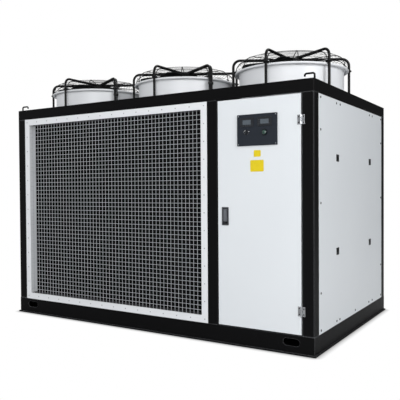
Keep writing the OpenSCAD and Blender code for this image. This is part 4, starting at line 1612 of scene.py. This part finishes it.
@dataclass
class Switchgear:
    """What stands on the mounting plate behind the door."""

    side_room: float = 0.015
    end_room: float = 0.03
    sink: float = 0.0005
    duct_width: float = 0.040
    duct_depth: float = 0.060
    duct_wall: float = 0.002
    duct_floor: Pair = (0.003, 0.02)
    duct_cover: float = 0.006
    finger_pitch: float = 0.0125
    finger: Pair = (0.002, 0.010)
    duct_levels: Pair = (0.800, 1.185)
    rail_heights: tuple[float, ...] = (1.330, 1.040, 0.640, 0.360)
    rail_inset: float = 0.055
    rail_front: float = 0.008
    rail_half: float = 0.0125
    rail_lip: float = 0.005
    rail_depth: float = 0.0075
    rail_lip_span: Pair = (0.0085, 0.0070)
    dial: Point = (0.012, -0.061, -0.066)
    dial_radius: float = 0.006
    dial_proud: float = 0.005
    rows: tuple[DeviceRow, ...] = (
        DeviceRow(0, 0.075, BREAKER, 6, 0.0180),
        DeviceRow(0, 0.205, BREAKER, 8, 0.0180),
        DeviceRow(1, 0.068, CONTACTOR, 6, 0.060),
        DeviceRow(2, 0.066, CONTROL_UNIT),
        DeviceRow(2, 0.224, SUPPLY),
        DeviceRow(2, 0.302, RELAY, 7, 0.0165),
        DeviceRow(3, 0.060, END_CLAMP),
        *[DeviceRow(3, 0.0700 + i * 0.0868, TERMINAL, 12, 0.0062) for i in range(4)],
        *[DeviceRow(3, 0.1444 + i * 0.0868, EARTH_TERMINAL, 2, 0.0062) for i in range(4)],
        DeviceRow(3, 0.418, END_CLAMP),
    )

    def build(self) -> None:
        """Builds the ducts, rails, breakers, contactors, relays and terminals."""
        coat("control_cabinet", ZINC)
        coat("mounting_plate", ZINC)
        low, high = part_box("mounting_plate")
        left, right = low.x + self.side_room, high.x - self.side_room
        foot, top = low.z + self.end_room, high.z - self.end_room
        self.ducts(low.y, (left, right), (foot, top))
        self.rails(low.y, left + self.rail_inset, right - self.rail_inset)
        self.devices(low.y - self.rail_front, left)

    def ducts(self, face: float, sides: Pair, ends: Pair) -> None:
        """Makes the slotted wiring ducts.

        Args:
            face: Y of the mounting plate's face.
            sides: Where the outer ducts begin and end along X.
            ends: Where they begin and end along Z.
        """
        form = Form()
        w = self.duct_width
        inner = (sides[0] + w, sides[1] - w)
        for x in (sides[0], inner[1]):
            self.duct(form, face, ends, x, True)
        for z in (ends[0], *self.duct_levels, ends[1] - w):
            self.duct(form, face, inner, z, False)
        form.piece("wiring_ducts", DUCT_GREY)

    def duct(self, form: Form, face: float, ends: Pair, side: float, stands: bool) -> None:
        """Adds a duct: floor, cover and two rows of fingers.

        Args:
            form: What it is added to.
            face: Y of the mounting plate's face.
            ends: Where it begins and ends along its length.
            side: Where its lower or left side is.
            stands: Whether it stands upright.
        """
        front, back = face - self.duct_depth, face + self.sink
        w, wall, cover = self.duct_width, self.duct_wall, self.duct_cover
        inset, floor = self.duct_floor

        def corner(along: float, y: float, aside: float) -> Point:
            """Returns a corner, upright or level as the duct is."""
            return (aside, y, along) if stands else (along, y, aside)

        form.block(corner(ends[0], back - floor, side + inset),
                   corner(ends[1], back, side + w - inset), 0.001)
        form.block(corner(ends[0], front, side), corner(ends[1], front + cover, side + w), 0.0015)
        for i in range(int((ends[1] - ends[0]) / self.finger_pitch)):
            along = ends[0] + i * self.finger_pitch
            for edge in (side, side + w - wall):
                form.block(corner(along + self.finger[0], front + 0.005, edge),
                           corner(along + self.finger[1], back, edge + wall))

    def rails(self, face: float, start: float, end: float) -> None:
        """Makes the rails that carry the gear.

        Args:
            face: Y of the mounting plate's face.
            start: Where the rails begin along X.
            end: Where they end.
        """
        form = Form()
        half, lip = self.rail_half, self.rail_lip
        front, (lip_front, lip_back) = face - self.rail_depth, self.rail_lip_span
        for z in self.rail_heights:
            form.block((start, front, z - half), (end, face + self.sink, z + half), 0.001)
            for foot in (z - half - lip, z + half):
                form.block((start, face - lip_front, foot), (end, face - lip_back, foot + lip))
        form.piece("mounting_rails", ZINC)

    def devices(self, back: float, left: float) -> None:
        """Sets every row of devices on its rail.

        Args:
            back: Y of the rails' front.
            left: X that the rows are measured from.
        """
        forms = {gear: Form() for gear in Gear}
        for row in self.rows:
            z = self.rail_heights[row.rail]
            for i in range(row.count):
                x = left + row.start + i * row.pitch
                for brick in row.bricks:
                    low, high = [(x + brick.across[end], back - brick.ahead[end],
                                  z + brick.above[end]) for end in (0, 1)]
                    forms[brick.gear].block(low, high, brick.edge, brick.segments)
                if row.bricks is CONTACTOR:
                    dial = Vector((x, back, z)) + Vector(self.dial)
                    forms[Gear.DARK].rod(dial, dial + FRONT * self.dial_proud, self.dial_radius, 14)
        for gear, form in forms.items():
            form.piece(*gear.value)


@dataclass
class WaterSockets:
    """The two flanged water sockets on the back."""

    bore: float = 0.027
    outer: float = 0.038
    flange: float = 0.055
    proud: float = 0.008
    length: float = 0.100
    thread: float = 0.0023
    thread_start: float = 0.005
    thread_turns: int = 14
    heights: Pair = (0.320, 0.520)
    bolt: Pair = (0.0048, 0.0048)
    bolt_circle: float = 0.0465

    def build(self) -> None:
        """Builds both sockets and their bolts."""
        low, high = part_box("water_sockets")
        places = [aimed(((low.x + high.x) / 2, high.y - self.proud, z), -FRONT)
                  for z in self.heights]
        sockets = Form().add(self.socket(), *places)
        sockets.piece("water_socket_flanges", SOCKET_METAL, replaces=["water_sockets"])
        seat = Matrix.Translation((self.bolt_circle, 0.0, self.proud))
        spots = [place @ about_z(math.radians(45 + 90 * i)) @ seat
                 for place in places for i in range(4)]
        Form().add(hex_bolt(*self.bolt), *spots).piece("water_socket_bolts", SCREW_STEEL)

    def socket(self) -> Form:
        """Makes a socket along Z with a threaded bore.

        Returns:
            The socket.
        """
        back, face, rim = self.proud - self.length, self.proud, self.proud - 0.001
        outline = [(self.bore, back), (self.outer, back), (self.outer, 0.0), (self.flange, 0.0),
                   (self.flange, rim), (self.flange - 0.001, face), (self.outer + 0.002, face),
                   (self.outer, rim), (self.bore + 0.004, rim)]
        for i in range(self.thread_turns):
            z = self.thread_start - i * self.thread
            outline += [(self.bore + 0.0002, z), (self.bore + 0.0014, z - self.thread / 2)]
        outline.append((self.bore, self.thread_start - self.thread_turns * self.thread))
        return Form().turned(outline, steps=40, closed=True)


# Studio


@dataclass(frozen=True)
class Lamp:
    """A square soft lamp; gleams says whether it shows on glossy faces."""

    name: str
    spot: Point
    target: Point
    size: float
    power: float
    gleams: bool = True

    def hang(self) -> None:
        """Puts the lamp in its place."""
        data = bpy.data.lights.new(self.name, "AREA")
        data.size = self.size
        data.energy = self.power
        lamp = bpy.data.objects.new(self.name, data)
        aim = (Vector(self.target) - Vector(self.spot)).to_track_quat("-Z", "Y")
        lamp.matrix_world = Matrix.Translation(self.spot) @ aim.to_matrix().to_4x4()
        lamp.visible_glossy = self.gleams
        bpy.context.scene.collection.objects.link(lamp)


@dataclass
class Studio:
    """Camera, lamps, floor and background."""

    eye: Point = (2.57785, -4.10659, 1.03499)
    azimuth: float = 32.214
    elevation: float = 1.150
    roll: float = -0.378
    lens: float = 51.58
    sky: float = 0.485
    sky_colour: Colour = (0.97, 0.985, 1.0, 1.0)
    dim: float = 0.08
    dim_way: Point = (0.47, 0.88, 0.0)
    dim_band: Pair = (0.45, 0.90)
    footprint: Pair = (1.30, 0.79)
    fade: float = 0.07
    floor_half: float = 30.0
    floor_tones: tuple[str, str] = ("#b4b4b4", "#afafb0")
    # Painted shade: the floor's colour under the chiller.
    painted_shade_under_chiller: str = "#121212"
    lamps: tuple[Lamp, ...] = (
        Lamp("key_lamp", (3.2, -7.6, 1.6), (0.0, -0.4, 0.85), 4.0, 304.0),
        Lamp("side_lamp", (5.9, -2.7, 3.4), (1.3, -0.4, 1.3), 2.4, 180.0),
        Lamp("fill_lamp", (-7.0, -3.6, 2.2), (0.0, -0.3, 1.3), 3.0, 138.0, False),
        Lamp("roof_lamp", (0.4, 2.8, 6.2), (0.0, 0.0, 1.6), 4.5, 200.0),
    )

    def build(self) -> None:
        """Sets the stage."""
        bpy.context.scene.view_settings.view_transform = "Standard"
        self.camera()
        self.background()
        self.floor()
        for lamp in self.lamps:
            lamp.hang()

    def camera(self) -> None:
        """Puts the camera where the photograph was taken from."""
        around, above = math.radians(self.azimuth), math.radians(self.elevation)
        back = Vector((math.sin(around) * math.cos(above), -math.cos(around) * math.cos(above),
                       math.sin(above)))
        tilt = Matrix.Rotation(math.radians(self.roll), 3, "Z")
        look = (-back).to_track_quat("-Z", "Y").to_matrix() @ tilt
        data = bpy.data.cameras.new("camera")
        data.sensor_width = 36.0
        data.lens = self.lens
        data.clip_end = 200.0
        camera = bpy.data.objects.new("camera", data)
        camera.matrix_world = Matrix.Translation(self.eye) @ look.to_4x4()
        bpy.context.scene.collection.objects.link(camera)
        bpy.context.scene.camera = camera

    def seen(self, graph: Graph) -> Signal:
        """Returns 1 for rays that show the background straight to the camera."""
        camera = graph.node("ShaderNodeLightPath", output="Is Camera Ray")
        return camera + graph.node("ShaderNodeLightPath", output="Is Transmission Ray")

    def background(self) -> None:
        """Makes a white background that lights the object softly, less from one side."""
        world = bpy.data.worlds.new("studio")
        world.use_nodes = True
        bpy.context.scene.world = world
        graph = Graph(world.node_tree)
        way = graph.node("ShaderNodeTexCoord", output="Object")
        aside = graph.node("ShaderNodeVectorMath", {"operation": "DOT_PRODUCT"},
                           {0: way, 1: self.dim_way}, "Value")
        glow = self.sky - graph.band(aside, *self.dim_band) * (self.sky - self.dim)
        light, white = [graph.node("ShaderNodeBackground", {}, {"Color": tint, "Strength": level})
                        for tint, level in ((self.sky_colour, glow), (WHITE, 1.0))]
        both = graph.node("ShaderNodeMixShader", {}, {0: self.seen(graph), 1: light, 2: white})
        graph.feed(world.node_tree.nodes["World Output"].inputs["Surface"], both)

    def floor(self) -> None:
        """Lays the pale floor, with painted shade under the chiller."""
        mesh = bmesh.new()
        bmesh.ops.create_grid(mesh, x_segments=1, y_segments=1, size=self.floor_half)
        data = bpy.data.meshes.new("floor")
        mesh.to_mesh(data)
        mesh.free()
        data.materials.append(self.floor_paint())
        floor = bpy.data.objects.new("floor", data)
        bpy.context.scene.collection.objects.link(floor)

    def floor_paint(self) -> bpy.types.Material:
        """Makes the floor's paint, which is plain white to the camera past the chiller and painted
        dark, as shade, under it.

        Returns:
            The paint.
        """
        shader = Shader("floor_paint")
        shader.set("Roughness", 0.9)
        shader.set("Specular IOR Level", 0.1)
        white = shader.node("ShaderNodeEmission", {}, {"Color": WHITE, "Strength": 1.0})
        spot = shader.place
        for operation, other in (("ABSOLUTE", None), ("SUBTRACT", (*self.footprint, 0.0)),
                                 ("MAXIMUM", (0.0, 0.0, 0.0))):
            inputs = {0: spot} if other is None else {0: spot, 1: other}
            spot = shader.node("ShaderNodeVectorMath", {"operation": operation}, inputs)
        away = shader.node("ShaderNodeVectorMath", {"operation": "LENGTH"}, {0: spot}, "Value")
        clear_of = shader.band(away, 0.0, self.fade)
        tones = [linear(tone) for tone in self.floor_tones]
        pale = shader.mix(shader.clouds(0.8, 3.0) * 0.2, *tones)
        # Painted shade: the floor goes dark under the chiller, where its shadow lies, so that what
        # shows through the base's slots stays black.
        shader.set("Base Color", shader.mix(clear_of, linear(self.painted_shade_under_chiller), pale))
        paint = Signal(shader, shader.surface.outputs[0])
        both = shader.node("ShaderNodeMixShader", {},
                           {0: self.seen(shader) * clear_of, 1: paint, 2: white})
        shader.feed(shader.tree.nodes["Material Output"].inputs["Surface"], both)
        return shader.material


def main() -> None:
    """Builds every sub-assembly and the studio."""
    logging.basicConfig(level=logging.INFO, format="%(name)s: %(message)s")
    parts = [Studio(), SteelFrame(), GrilleSide(), CondenserCoil(), ClosingPanels(),
             *[FanUnit(place) for place in FanPlace], ControlDoor(), ControlPanel(), LiftHandle(),
             Switchgear(), WaterSockets()]
    for part in parts:
        LOG.info("building %s", type(part).__name__)
        part.build()


if __name__ == "__main__":
    main()
